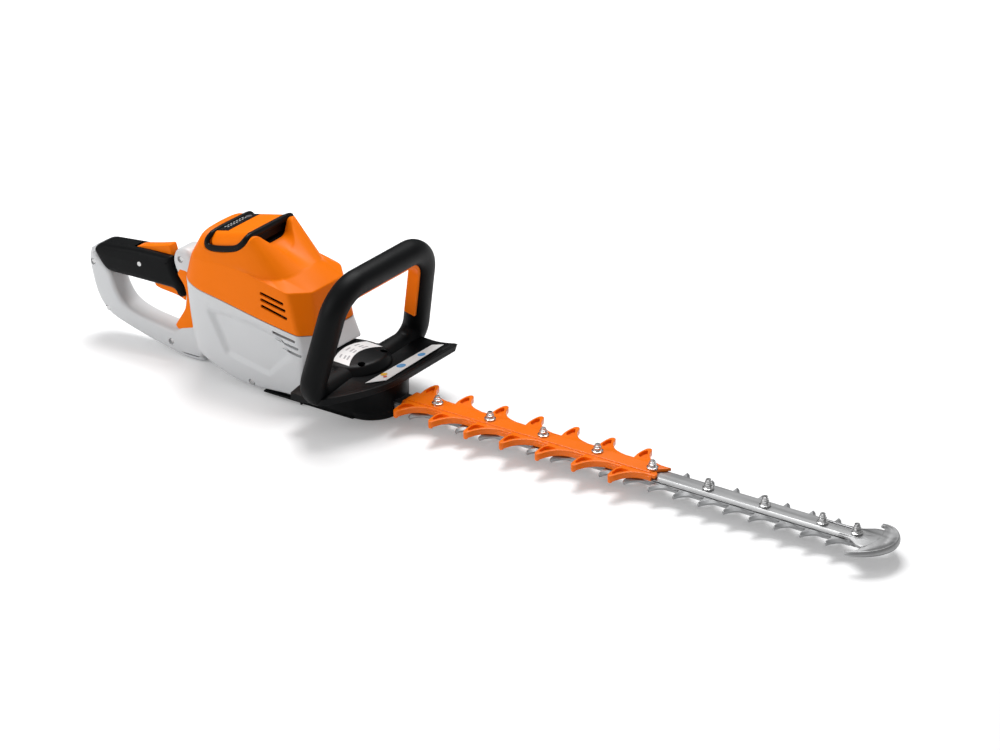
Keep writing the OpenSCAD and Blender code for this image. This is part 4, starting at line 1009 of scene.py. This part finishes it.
class TRIMMER_OT_labels(bpy.types.Operator):
    """Lays two labels with plain bars and dots on the hump and the shield"""

    bl_idname = "trimmer.labels"
    bl_label = "Labels"

    def execute(self, context):
        band = band_patch((-33, 33), -23.5, -3.5, 7.0, 10.5)
        piece("rating_sticker", band, "machine", label_stock(), ["rating_label"])
        marks = []
        for k in range(3):
            for x in (-19.0, -13.0, -8.5):
                y0 = -24 + 17 * k
                marks.append(band_patch((y0, y0 + 9 - 2 * ((k + int(x)) % 2)), x, x + 2.2, 8.0, 8.2, 0.26, 6))
        ink = print_ink("Grey ink", (0.35, 0.35, 0.36))
        piece("sticker_bars", join(*marks), "machine", ink)
        strip = shield_patch([(39, -46, 56.3), (41, 84, 56.6), (55.5, 88, 59.3), (57.5, -30, 58.9)])
        piece("shield_sticker", strip, "machine", label_stock(), ["shield_label"])
        inks = [("Warm ink", (0.75, 0.42, 0.02), (44, -16, 5)), ("Cool ink", (0.10, 0.32, 0.62), (47, 14, 7)),
                ("Cool ink", (0.10, 0.32, 0.62), (49, 52, 6)), ("Red ink", (0.65, 0.10, 0.05), (50, -22, 3))]
        for index, (ink, tint, (x, y, size)) in enumerate(inks):
            z = 57.2 + (x - 44) * 0.17
            dot = disc((x, y, z), (-0.18, 0, 1), size * 0.8, 0.5, 28, 0.1)
            piece("sticker_dot_%d" % index, dot, "machine", print_ink(ink, tint))
        return {"FINISHED"}


# ---------------------------------------------------------------- battery

RIM_PATH = [(-28.5, 0, -1.0), (-28.5, -33, -1.2), (-31.6, -40, -4), (-33, -45, -9.5), (-30.5, -47, -15),
            (-20, -47.6, -16.8), (0, -47.6, -16.9), (13, -47.4, -16.0), (22, -46.8, -11.5), (27.3, -44.5, -6.4),
            (27.6, -38, -4.4), (27.2, -33, -4.2), (27.2, 0, -4.2)]
CAP_SECTIONS = [(-45.2, -19, 11, -13.5, -16), (-44.4, -25, 17, -12.0, -16.5), (-41, -28.2, 22, -8.0, -16.5),
                (-37, -28.6, 24, -3.4, -16), (-33.5, -28, 24.5, -0.7, -16), (-30, -27.8, 24.5, 0.0, -16)]


def cap_surface():
    """The battery's cap: sections along the machine, flat over the middle and falling at both ends."""
    half = np.array(CAP_SECTIONS, float)
    full = np.concatenate([half, half[::-1] * [-1, 1, 1, 1, 1]])
    loops = []
    for y, rear, front, top, low in full:
        loops.append([(rear, y, low), (front, y, low), (front, y, top), (rear, y, top)])
    loops = bend(np.array(loops, float), 99, False, 4)
    rounded = bend(np.swapaxes(loops, 0, 1), np.array([0.5, 0.5, 2.0, 1.0])[:, None], True, 5)
    return grid(in_battery(np.swapaxes(rounded, 0, 1)), wrap_v=True, cap_u=True)


class TRIMMER_OT_battery(bpy.types.Operator):
    """Builds the battery's cap, dark rim, display and case"""

    bl_idname = "trimmer.battery"
    bl_label = "Battery"

    def execute(self, context):
        piece("battery_top", cap_surface(), "battery", orange_plastic(), ["battery_cap"], 40)
        half = np.array(RIM_PATH, float)
        path = np.concatenate([half, half[-2:0:-1] * [1, -1, 1]])
        path = bend(path, 99, True, 6)
        section = ellipse_section(3.2, 3.9, 2.4, 32)
        centre = np.array([-2.0, 0.0, -8.0])
        outward = (path - centre) * [1, 1, 0]
        rim = sweep(path, section, outward, closed=True)
        rim = (in_battery(rim[0]), rim[1])
        front = plate(outline([(23.0, -1.0), (23.0, -9), (29.6, -9), (29.8, -4.5), (27.6, -0.8)],
                              [1, 1, 2.5, 3, 2]), -34.5, 34.5, 0.6, 4)
        front = (in_battery(front[0]), front[1])
        wall = plate(outline([(20.0, -2.0), (20.0, -18), (26.2, -18), (26.8, -2.5)], [1] * 4),
                     -34, 34, 0.5, 3)
        wall = (in_battery(wall[0]), wall[1])
        piece("battery_rim_band", join(rim, front, wall), "battery", black_plastic(),
              ["battery_rim"], 50)
        lamps = [box_strip(x, y, 1.6, 3.2)
                 for x in (-23.0, -18.5) for y in (-18, -12.5, -7, -1.5, 4, 9.5, 15)]
        ink = print_ink("Lamp grey", (0.45, 0.46, 0.46))
        piece("charge_lamps", join(*lamps), "battery", ink)
        return {"FINISHED"}


def box_strip(x, y, length, width, height=0.65):
    """A small raised bar on the display."""
    flat = outline([(x - length / 2, y - width / 2), (x + length / 2, y - width / 2),
                    (x + length / 2, y + width / 2), (x - length / 2, y + width / 2)], [0.6] * 4, 4)
    bar = plate(flat, 0.0, height, 0.15, 3, up="z")
    return in_battery(bar[0]), bar[1]


# ---------------------------------------------------------------- cutter

# The blades: half width of the spine, rows of teeth and their limit; lower faces, thickness, and how far the
# upright part of a tooth's edge reaches
BLADE_HALF, FIRST_TOOTH, TOOTH_PITCH, TOOTH_COUNT, LAST_TOOTH = 13.0, 92.5, 33.0, 18, 660
UPPER_LOW, LOWER_LOW, BLADE_T, GRIND_FLAT = 19.0, 15.7, 3.0, 0.9
# Levels of rail and guard, the bolts along the cutter, how many hold the guard, its fingers, and the tip shoe
RAIL_LOW, RAIL_TOP, GUARD_TOP = 22.3, 25.9, 30.9
BOLTS = [108.9 + 74.25 * k for k in range(8)] + [672.5]
GUARD_BOLTS = 5
FINGER_FIRST, FINGER_PITCH, FINGER_COUNT, BAND_HALF = 78.5, 49.5, 7, 14.3
SHOE_X, SHOE_R, SHOE_SPAN = 677.5, 43.6, 84
# Outline of a tooth pointing away from the blade: (ahead of the tooth's datum, outwards from the spine)
TOOTH = [(-4.4, -2.5), (22.5, -2.5), (22, 0.2), (15.5, 0.9), (10, 2.9), (5.6, 6.2), (2.2, 10.2), (-0.6, 14.4),
         (-2.8, 16.3), (-4.8, 15.6), (-4.6, 6), (-5.2, 0.4)]
# How far each point moves on the ground face: along and outwards
GRIND = [(0, 0), (0, 0), (-1.0, -1.6), (-2.4, -2.2), (-3.2, -2.2), (-3.6, -1.6), (-3.4, -1.2), (-2.6, -1.4),
         (-0.8, -1.8), (0.9, -1.0), (1.0, 0), (0.6, 0)]


def tooth_surface(datum, side, low, ground_up):
    """One tooth: its outline on one face of the blade and, moved inwards by the grind, on the other."""
    full = np.array(TOOTH)
    cut = full + np.array(GRIND)
    faces = [full, cut] if ground_up else [cut, full]
    levels = [low, low + (GRIND_FLAT if ground_up else BLADE_T - GRIND_FLAT), low + BLADE_T]
    rings = [faces[0], faces[0] if ground_up else faces[1], faces[1]]
    points = [np.c_[datum + ring[:, 0], side * (BLADE_HALF + ring[:, 1]), np.full(len(ring), z)]
              for ring, z in zip(rings, levels)]
    return grid(np.array(points), wrap_v=True, cap_u=True)


def teeth_surface(low, ground_up):
    """All teeth of a blade: the far row stands half a pitch ahead of the near row."""
    near = [tooth_surface(FIRST_TOOTH + k * TOOTH_PITCH, -1, low, ground_up) for k in range(TOOTH_COUNT)]
    ahead = [FIRST_TOOTH + (k + 0.5) * TOOTH_PITCH for k in range(TOOTH_COUNT)]
    far = [tooth_surface(x, 1, low, ground_up) for x in ahead if x < LAST_TOOTH]
    return join(*near, *far)


def shoe_surface():
    """The tip shoe: a crescent whose section has a plateau, a shallow groove and a rounded rim.

    One parameter runs along the crescent from horn to horn, the other round its section. The section
    reaches to the rail in the middle and narrows to the rim at the horns.
    """
    a = np.radians(np.linspace(-SHOE_SPAN, SHOE_SPAN, 110))
    fall = np.abs(a) / np.radians(SHOE_SPAN)
    outer = SHOE_R - 0.4 * fall
    near = np.clip((fall - 0.30) / 0.62, 0, 1)
    width = 37.5 * (1 - near ** 2 * (3 - 2 * near)) + 5.6
    inner = outer - width
    base = 17.0 + 1.6 * fall
    loops = []
    for angle, r1, r0, low, t in zip(a, outer, inner, base, fall):
        top = 26.4 - 3.4 * t ** 4
        w = r1 - r0
        profile = [(r0, low + 1.5), (r1 - 0.30 * w - 1, low), (r1 - 0.4, low + 2.2), (r1, top - 2.6),
                   (r1 - 1.6, top + 0.9), (r1 - 3.4, top + 0.6), (r1 - 0.22 * w - 2, top - 2.6 * (1 - t)),
                   (r1 - 0.42 * w - 2, top - 0.6), (r0, top - 0.4)]
        loops.append([(SHOE_X + r * math.cos(angle), r * math.sin(angle), z) for r, z in profile])
    loops = np.array(loops)
    cuts = np.array([0.6, 3, 2, 2.2, 1.1, 1.1, 5, 4, 0.6])[:, None]
    rounded = bend(np.swapaxes(loops, 0, 1), cuts, True, 5)
    return grid(np.swapaxes(rounded, 0, 1), wrap_v=True, cap_u=True)


# Nut stack: radius and height above its washer, from the flange to the bolt's end
NUT_PROFILE = [(6.6, 0), (6.7, 0.8), (5.3, 1.4), (4.9, 3.2), (4.1, 3.7), (4.7, 4.2), (4.6, 5.9), (3.6, 6.5),
               (3.9, 7.0), (3.7, 8.3), (2.9, 8.8), (2.8, 10.6), (2.2, 11.1)]


def revolve(profile, centre, count=36):
    """A surface of revolution about an upright axis."""
    t = np.linspace(0, 2 * math.pi, count, endpoint=False)
    rings = [np.stack([centre[0] + r * np.cos(t), centre[1] + r * np.sin(t),
                       np.full(count, centre[2] + z)], -1) for r, z in profile]
    return grid(np.array(rings), wrap_v=True, cap_u=True)


def nuts_surface():
    """A flanged nut stack on every bolt; those on the guard stand higher."""
    stacks = []
    for index, x in enumerate(BOLTS):
        seat = GUARD_TOP if index < GUARD_BOLTS else RAIL_TOP
        profile = [(r, h * (0.8 if index < GUARD_BOLTS else 1.0)) for r, h in NUT_PROFILE]
        stacks.append(revolve(profile, (x, 0, seat + 1.2)))
    return join(*stacks)


# A guard finger and the pocket in it, from the finger's datum outwards from the band, with their roundings
FINGER = [(-3, -4), (36, -4), (35, -0.5), (27, 1.0), (18, 4.4), (11, 10.5), (6.5, 18), (4.2, 25), (2.6, 28.6),
          (-0.8, 29.3), (-3.6, 26.6), (-5.2, 19), (-5.4, 8)]
FINGER_CUTS = [1, 1, 3, 5, 5, 5, 5, 3, 1.8, 1.8, 2, 5, 4]
POCKET = [(0.6, 3.5), (11.5, 3.4), (6.6, 11.5), (2.2, 20.5), (0.0, 22.5), (-2.4, 18.5), (-2.8, 8)]
POCKET_CUTS = [2, 2, 5, 2, 1.5, 2, 3]


def finger_surface(datum, side, points, cuts, low, high, edge):
    """A finger or its pocket: a rounded plate beside the guard's band."""
    flat = np.array(points) + [datum, BAND_HALF]
    flat = outline([(x, side * y) for x, y in flat], cuts, 5)
    return plate(flat, low, high, edge, 4, up="z")


def guard_surfaces():
    """Three lists: band, side skirts and finger tips; hooked fingers; and pockets to cut out of them."""
    start, end = FINGER_FIRST - 10, FINGER_FIRST + (FINGER_COUNT - 1) * FINGER_PITCH + 46
    band = outline([(start, -BAND_HALF), (end - 3, -BAND_HALF), (end - 4, -6), (end - 10, -2), (end - 9, 4),
                    (end - 4, 8), (end + 1, BAND_HALF), (start, BAND_HALF)], [1, 2, 3, 3, 4, 4, 1.5, 1], 5)
    crown = outline([(start + 2, -10.6), (end - 12, -10.6), (end - 13, 10.6), (start + 2, 10.6)], [2] * 4, 5)
    skirt = outline([(start, -15.6), (end - 8, -15.6), (end - 8, -12.9), (start, -12.9)], [0.6] * 4, 3)
    solids = [plate(band, RAIL_TOP, GUARD_TOP - 1.0, 1.3, 5, up="z"),
              plate(crown, GUARD_TOP - 2.5, GUARD_TOP, 0.8, 4, up="z"),
              both(plate(skirt, RAIL_LOW + 0.3, RAIL_TOP + 2.2, 0.7, 4, up="z"))]
    fingers, pockets = [], []
    for k in range(FINGER_COUNT):
        for side in (-1, 1):
            x = FINGER_FIRST + k * FINGER_PITCH
            fingers.append(finger_surface(x, side, FINGER, FINGER_CUTS, RAIL_LOW + 0.2, RAIL_TOP + 4.1, 0.9))
            tip = (x + 0.2, side * (BAND_HALF + 26.6), RAIL_LOW - 1.2)
            solids.append(revolve([(2.0, 0), (2.7, 0.8), (2.8, 7.2), (1.8, 8.8)], tip, 20))
            pockets.append(finger_surface(x, side, POCKET, POCKET_CUTS, RAIL_TOP + 0.4, RAIL_TOP + 9, 0.3))
    return solids, fingers, pockets


# The rail's section: (across, up), with a wide ground chamfer on the near side
RAIL_SECTION = [(-12.5, 22.35), (-12.5, 23.4), (-8.2, 25.9), (11.6, 25.9), (12.5, 25.0), (12.5, 22.35)]


def rail_surface():
    """The guide rail: its section carried straight along the cutter."""
    section = bend(np.c_[np.array(RAIL_SECTION), np.zeros(6)], 0.35, True, 4)[:, :2]
    loops = [np.c_[np.full(len(section), x), section] for x in (34.0, 60.0, 300.0, 679.4)]
    return grid(np.array(loops), wrap_v=True, cap_u=True)


class TRIMMER_OT_cutter(bpy.types.Operator):
    """Builds blades with ground teeth, tip shoe, nut stacks and chamfered rail"""

    bl_idname = "trimmer.cutter"
    bl_label = "Cutter"

    def execute(self, context):
        seat = outline([(656, -12.4), (670, -13.2), (684, -23.5), (694, -25), (700, 0), (694, 25), (684, 23.5),
                        (670, 13.2), (656, 12.4)], [1, 5, 5, 5, 5, 5, 5, 5, 1])
        shoe = join(shoe_surface(), plate(seat, RAIL_LOW + 0.2, RAIL_TOP - 0.08, 0.4, 4, up="z"))
        piece("nose_shoe", shoe, "machine", rail_metal(), ["tip_shoe"], 40)
        strip = both(plate(outline([(30, -34), (720, -34), (720, -13.02), (30, -13.02)], [1] * 4, 2), 5, 30,
                           0.02, 2, up="z"))
        cad_copy("upper_blade", "upper_spine", "upper_blade", blade_steel(), strip)
        cad_copy("lower_blade", "lower_spine", "lower_blade", blade_steel(), strip)
        upper = teeth_surface(UPPER_LOW, True)
        piece("upper_teeth", upper, "upper_blade", blade_steel(), (), 20)
        lower = teeth_surface(LOWER_LOW, False)
        piece("lower_teeth", lower, "lower_blade", blade_steel(), (), 20)
        piece("nut_stacks", nuts_surface(), "machine", bright_steel(), ["blade_nuts"], 30)
        piece("rail_bar", rail_surface(), "machine", rail_metal(), ["guide_rail"], 20)
        tall = [plate(outline([(60, 40.4), (418, 40.4), (418, 60), (60, 60)], [1] * 4, 2), -8, 8, 0.02, 2),
                plate(outline([(424, 37.9), (690, 37.9), (690, 60), (424, 60)], [1] * 4, 2), -8, 8, 0.02, 2)]
        cad_copy("blade_bolts", "cut_bolts", "machine", bright_steel(), join(*tall))
        return {"FINISHED"}


class TRIMMER_OT_guard(bpy.types.Operator):
    """Builds the orange clip-on guard with its hooked, hollowed fingers"""

    bl_idname = "trimmer.guard"
    bl_label = "Tooth guard"

    def execute(self, context):
        solids, fingers, pockets = guard_surfaces()
        guard = piece("guard_fingers", join(*fingers), "machine", guard_plastic(), (), 35)
        carve(guard, join(*pockets), 35)
        piece("guard_band", join(*solids), "machine", guard_plastic(), ["tooth_guard"], 35)
        return {"FINISHED"}


class TRIMMER_OT_gearbox(bpy.types.Operator):
    """Builds the black gearbox base under the front handle"""

    bl_idname = "trimmer.gearbox"
    bl_label = "Gearbox base"

    def execute(self, context):
        tail = outline([(-140, 3), (-66, 9), (-50, 27), (-44, 60), (-140, 60)], [1, 3, 3, 1, 1])
        keel = outline([(-140, -2), (-59, -2), (-59, 3.4), (-140, 3.4)], [0.5] * 4)
        cut = join(both(plate(tail, -60, -36, 0.05, 2)), plate(keel, -60, 60, 0.05, 2))
        cad_copy("gear_base", "gearbox_base", "machine", black_plastic(), cut, 0.0012)
        return {"FINISHED"}


# ---------------------------------------------------------------- carried-over nodes

def paint(names, material):
    """Gives CAD nodes a material."""
    for name in names:
        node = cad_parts[name]
        node.data.materials.clear()
        node.data.materials.append(material)


class TRIMMER_OT_nodes(bpy.types.Operator):
    """Gives every carried-over CAD node its finish"""

    bl_idname = "trimmer.nodes"
    bl_label = "Finishes of the frame"

    def execute(self, context):
        paint(["upper_blade", "lower_blade"], blade_steel())
        paint(["guide_rail", "gear_plate", "motor_cap", "tip_shoe"], rail_metal())
        paint(["tooth_guard"], guard_plastic())
        paint(["blade_bolts", "blade_washers", "blade_nuts", "handle_screws", "housing_screws", "cover_screws",
               "trigger_pin", "lockout_pin"], bright_steel())
        paint(["blade_bushes", "crank_gear", "idler_gear", "idler_pin", "gearbox_bearings", "motor_pinion",
               "motor_shaft", "motor_bearings", "motor_can", "motor_magnets", "wire_clip"], dull_steel())
        paint(["motor_windings"],
              moulded("Winding copper", (0.45, 0.16, 0.05), (0.3, 0.4), 1500.0, 0.3, 0.15))
        paint(["gear_base", "cooling_fan", "battery_bay", "main_switch", "bar_switch", "latch_right",
               "latch_left", "battery_rim"], black_plastic())
        paint(["battery_case", "contact_block"], pocket_black())
        paint(["control_board"], moulded("Board green", (0.02, 0.12, 0.05), (0.3, 0.4), 400.0, 0.1, 0.1))
        paint(["charge_panel"],
              moulded("Display black", (0.006, 0.006, 0.007), (0.12, 0.2), 500.0, 0.02, 0.05))
        paint(["charge_button"], moulded("Button grey", (0.10, 0.10, 0.105), (0.4, 0.5), 900.0, 0.2, 0.05))
        paint(["hood", "battery_cap", "rear_bridge", "trigger", "lockout_lever", "switch_bar"],
              orange_plastic())
        paint(["body_shell_right", "body_shell_left", "handle_shell_right", "handle_shell_left"],
              white_plastic())
        paint(["front_handle", "grip_right", "grip_left"], grip_rubber())
        paint(["rating_label", "shield_label"], label_stock())
        return {"FINISHED"}


# ---------------------------------------------------------------- stage

# Places in metres: the camera's aim, the two lamps and the grey card
AIM = (0.1522, 0.0648, 0.0542)
KEY_PLACE, KEY_AIM, KEY_SIZE = (-0.4, 0.9, 2.3), (0.05, 0.0, 0.05), 1.3
FILL_PLACE, FILL_AIM, FILL_SIZE, FILL_SHARE = (-1.4, -2.2, 1.3), (0.0, 0.0, 0.08), 1.5, 0.50
CARD_PLACE, CARD_WIDTH, CARD_HEIGHT = (-2.1, 3.1), 4.2, 2.3
FLOOR_REACH, FLOOR_LEVEL, FLOOR_GLOW = 12.0, -0.0004, 0.16
WHITE = (1, 1, 1, 1)


def stage_material(name):
    """A material without nodes but its output; gives the material, its node tree and the surface socket."""
    material = bpy.data.materials.new(name)
    material.use_nodes = True
    tree = material.node_tree
    tree.nodes.clear()
    return material, tree, add_node(tree, "OutputMaterial").inputs["Surface"]


def camera_ray(tree):
    """One for light that goes straight to the camera, otherwise nought."""
    return add_node(tree, "LightPath").outputs["Is Camera Ray"]


def backdrop_material():
    """Pale matt floor that shows a little brighter to the camera, and keeps the shadow."""
    material, tree, surface = stage_material("Pale floor")
    matt = add_node(tree, "BsdfDiffuse", {"Color": (0.86, 0.86, 0.865, 1)})
    level = add_node(tree, "Math", {0: camera_ray(tree), 1: FLOOR_GLOW}, "MULTIPLY")
    glow = add_node(tree, "Emission", {"Color": WHITE, "Strength": level.outputs[0]})
    feed(tree, surface, add_node(tree, "AddShader", {0: matt.outputs[0], 1: glow.outputs[0]}).outputs[0])
    return material


def card_material():
    """A grey studio card that the camera looks straight through."""
    material, tree, surface = stage_material("Studio card")
    matt = add_node(tree, "BsdfDiffuse", {"Color": (0.10, 0.10, 0.105, 1)})
    clear = add_node(tree, "BsdfTransparent")
    choice = add_node(tree, "MixShader", {"Fac": camera_ray(tree), 1: matt.outputs[0], 2: clear.outputs[0]})
    feed(tree, surface, choice.outputs[0])
    return material


def stage_sheet(name, corners, material):
    """A flat piece of the stage between four corners."""
    mesh = bpy.data.meshes.new(name)
    mesh.from_pydata([tuple(c) for c in corners], [], [(0, 1, 2, 3)])
    mesh.materials.append(material)
    sheet = add_object(name, mesh)


def area_lamp(name, place, aim, size, power):
    """A square soft lamp that points at aim."""
    lamp = bpy.data.lights.new(name, "AREA")
    lamp.size = size
    lamp.energy = power
    thing = add_object(name, lamp)
    thing.location = place
    thing.rotation_euler = (Vector(aim) - Vector(place)).to_track_quat("-Z", "Y").to_euler()


def studio_card(place, width, height):
    """An upright card that faces the object; metal faces mirror it as grey."""
    foot = Vector((place[0], place[1], 0.0))
    away = foot.normalized()
    side = Vector((-away.y, away.x, 0)) * (width / 2)
    top = Vector((0, 0, height))
    stage_sheet("card", [foot - side, foot + side, foot + side + top, foot - side + top], card_material())


def studio_world(sky):
    """White to the camera, and a weaker white light on everything else."""
    world = bpy.data.worlds.new("Studio")
    world.use_nodes = True
    tree = world.node_tree
    level = add_node(tree, "MapRange", {"Value": camera_ray(tree), "To Min": sky, "To Max": 1.0})
    back = tree.nodes["Background"]
    feed(tree, back.inputs["Strength"], level.outputs["Result"])
    feed(tree, back.inputs["Color"], WHITE)
    return world


def studio_camera(stage):
    """The camera: it looks at AIM from the azimuth, elevation and distance of the settings."""
    camera = bpy.data.cameras.new("camera")
    camera.lens = stage.lens
    camera.sensor_width = 36
    camera.clip_end = 60
    thing = add_object("camera", camera)
    az, el = stage.azimuth, stage.elevation
    right = Vector((math.cos(az), math.sin(az), 0))
    back_axis = Vector((math.sin(az) * math.cos(el), -math.cos(az) * math.cos(el), math.sin(el)))
    turn = Matrix((right, back_axis.cross(right), back_axis)).transposed()
    thing.matrix_world = Matrix.Translation(Vector(AIM) + back_axis * stage.distance) @ turn.to_4x4()
    return thing


class TRIMMER_OT_stage(bpy.types.Operator):
    """Sets up floor, light and camera"""

    bl_idname = "trimmer.stage"
    bl_label = "Stage"

    def execute(self, context):
        scene = context.scene
        stage = scene.trimmer_stage
        scene.view_settings.view_transform = "Standard"
        corners = [(x * FLOOR_REACH, y * FLOOR_REACH, FLOOR_LEVEL)
                   for x, y in ((-1, -1), (1, -1), (1, 1), (-1, 1))]
        stage_sheet("floor", corners, backdrop_material())
        studio_card(CARD_PLACE, CARD_WIDTH, CARD_HEIGHT)
        scene.world = studio_world(stage.sky)
        area_lamp("key", KEY_PLACE, KEY_AIM, KEY_SIZE, stage.key)
        area_lamp("fill", FILL_PLACE, FILL_AIM, FILL_SIZE, stage.key * FILL_SHARE)
        scene.camera = studio_camera(stage)
        return {"FINISHED"}


# ---------------------------------------------------------------- panel and registration

STEPS = (TRIMMER_OT_nodes, TRIMMER_OT_hood, TRIMMER_OT_body, TRIMMER_OT_rear_handle, TRIMMER_OT_grip,
         TRIMMER_OT_levers, TRIMMER_OT_front_handle, TRIMMER_OT_labels, TRIMMER_OT_battery,
         TRIMMER_OT_gearbox, TRIMMER_OT_cutter, TRIMMER_OT_guard, TRIMMER_OT_stage)


class TRIMMER_PT_panel(bpy.types.Panel):
    """Buttons for every piece of the trimmer"""

    bl_idname = "TRIMMER_PT_panel"
    bl_label = "Trimmer"
    bl_space_type = "VIEW_3D"
    bl_region_type = "UI"
    bl_category = "Trimmer"

    def draw(self, context):
        for step in STEPS:
            self.layout.operator(step.bl_idname)


GROUPS = (("trimmer_colours", TrimmerColours), ("trimmer_sizes", TrimmerSizes),
          ("trimmer_stage", TrimmerStage))


def register():
    for name, group in GROUPS:
        bpy.utils.register_class(group)
        setattr(bpy.types.Scene, name, PointerProperty(type=group))
    for step in STEPS:
        bpy.utils.register_class(step)
    bpy.utils.register_class(TRIMMER_PT_panel)


def unregister():
    bpy.utils.unregister_class(TRIMMER_PT_panel)
    for step in reversed(STEPS):
        bpy.utils.unregister_class(step)
    for name, group in reversed(GROUPS):
        delattr(bpy.types.Scene, name)
        bpy.utils.unregister_class(group)


def main():
    register()
    for step in STEPS:
        getattr(bpy.ops.trimmer, step.bl_idname.split(".")[1])()
    bpy.context.view_layer.update()


if __name__ == "__main__":
    main()
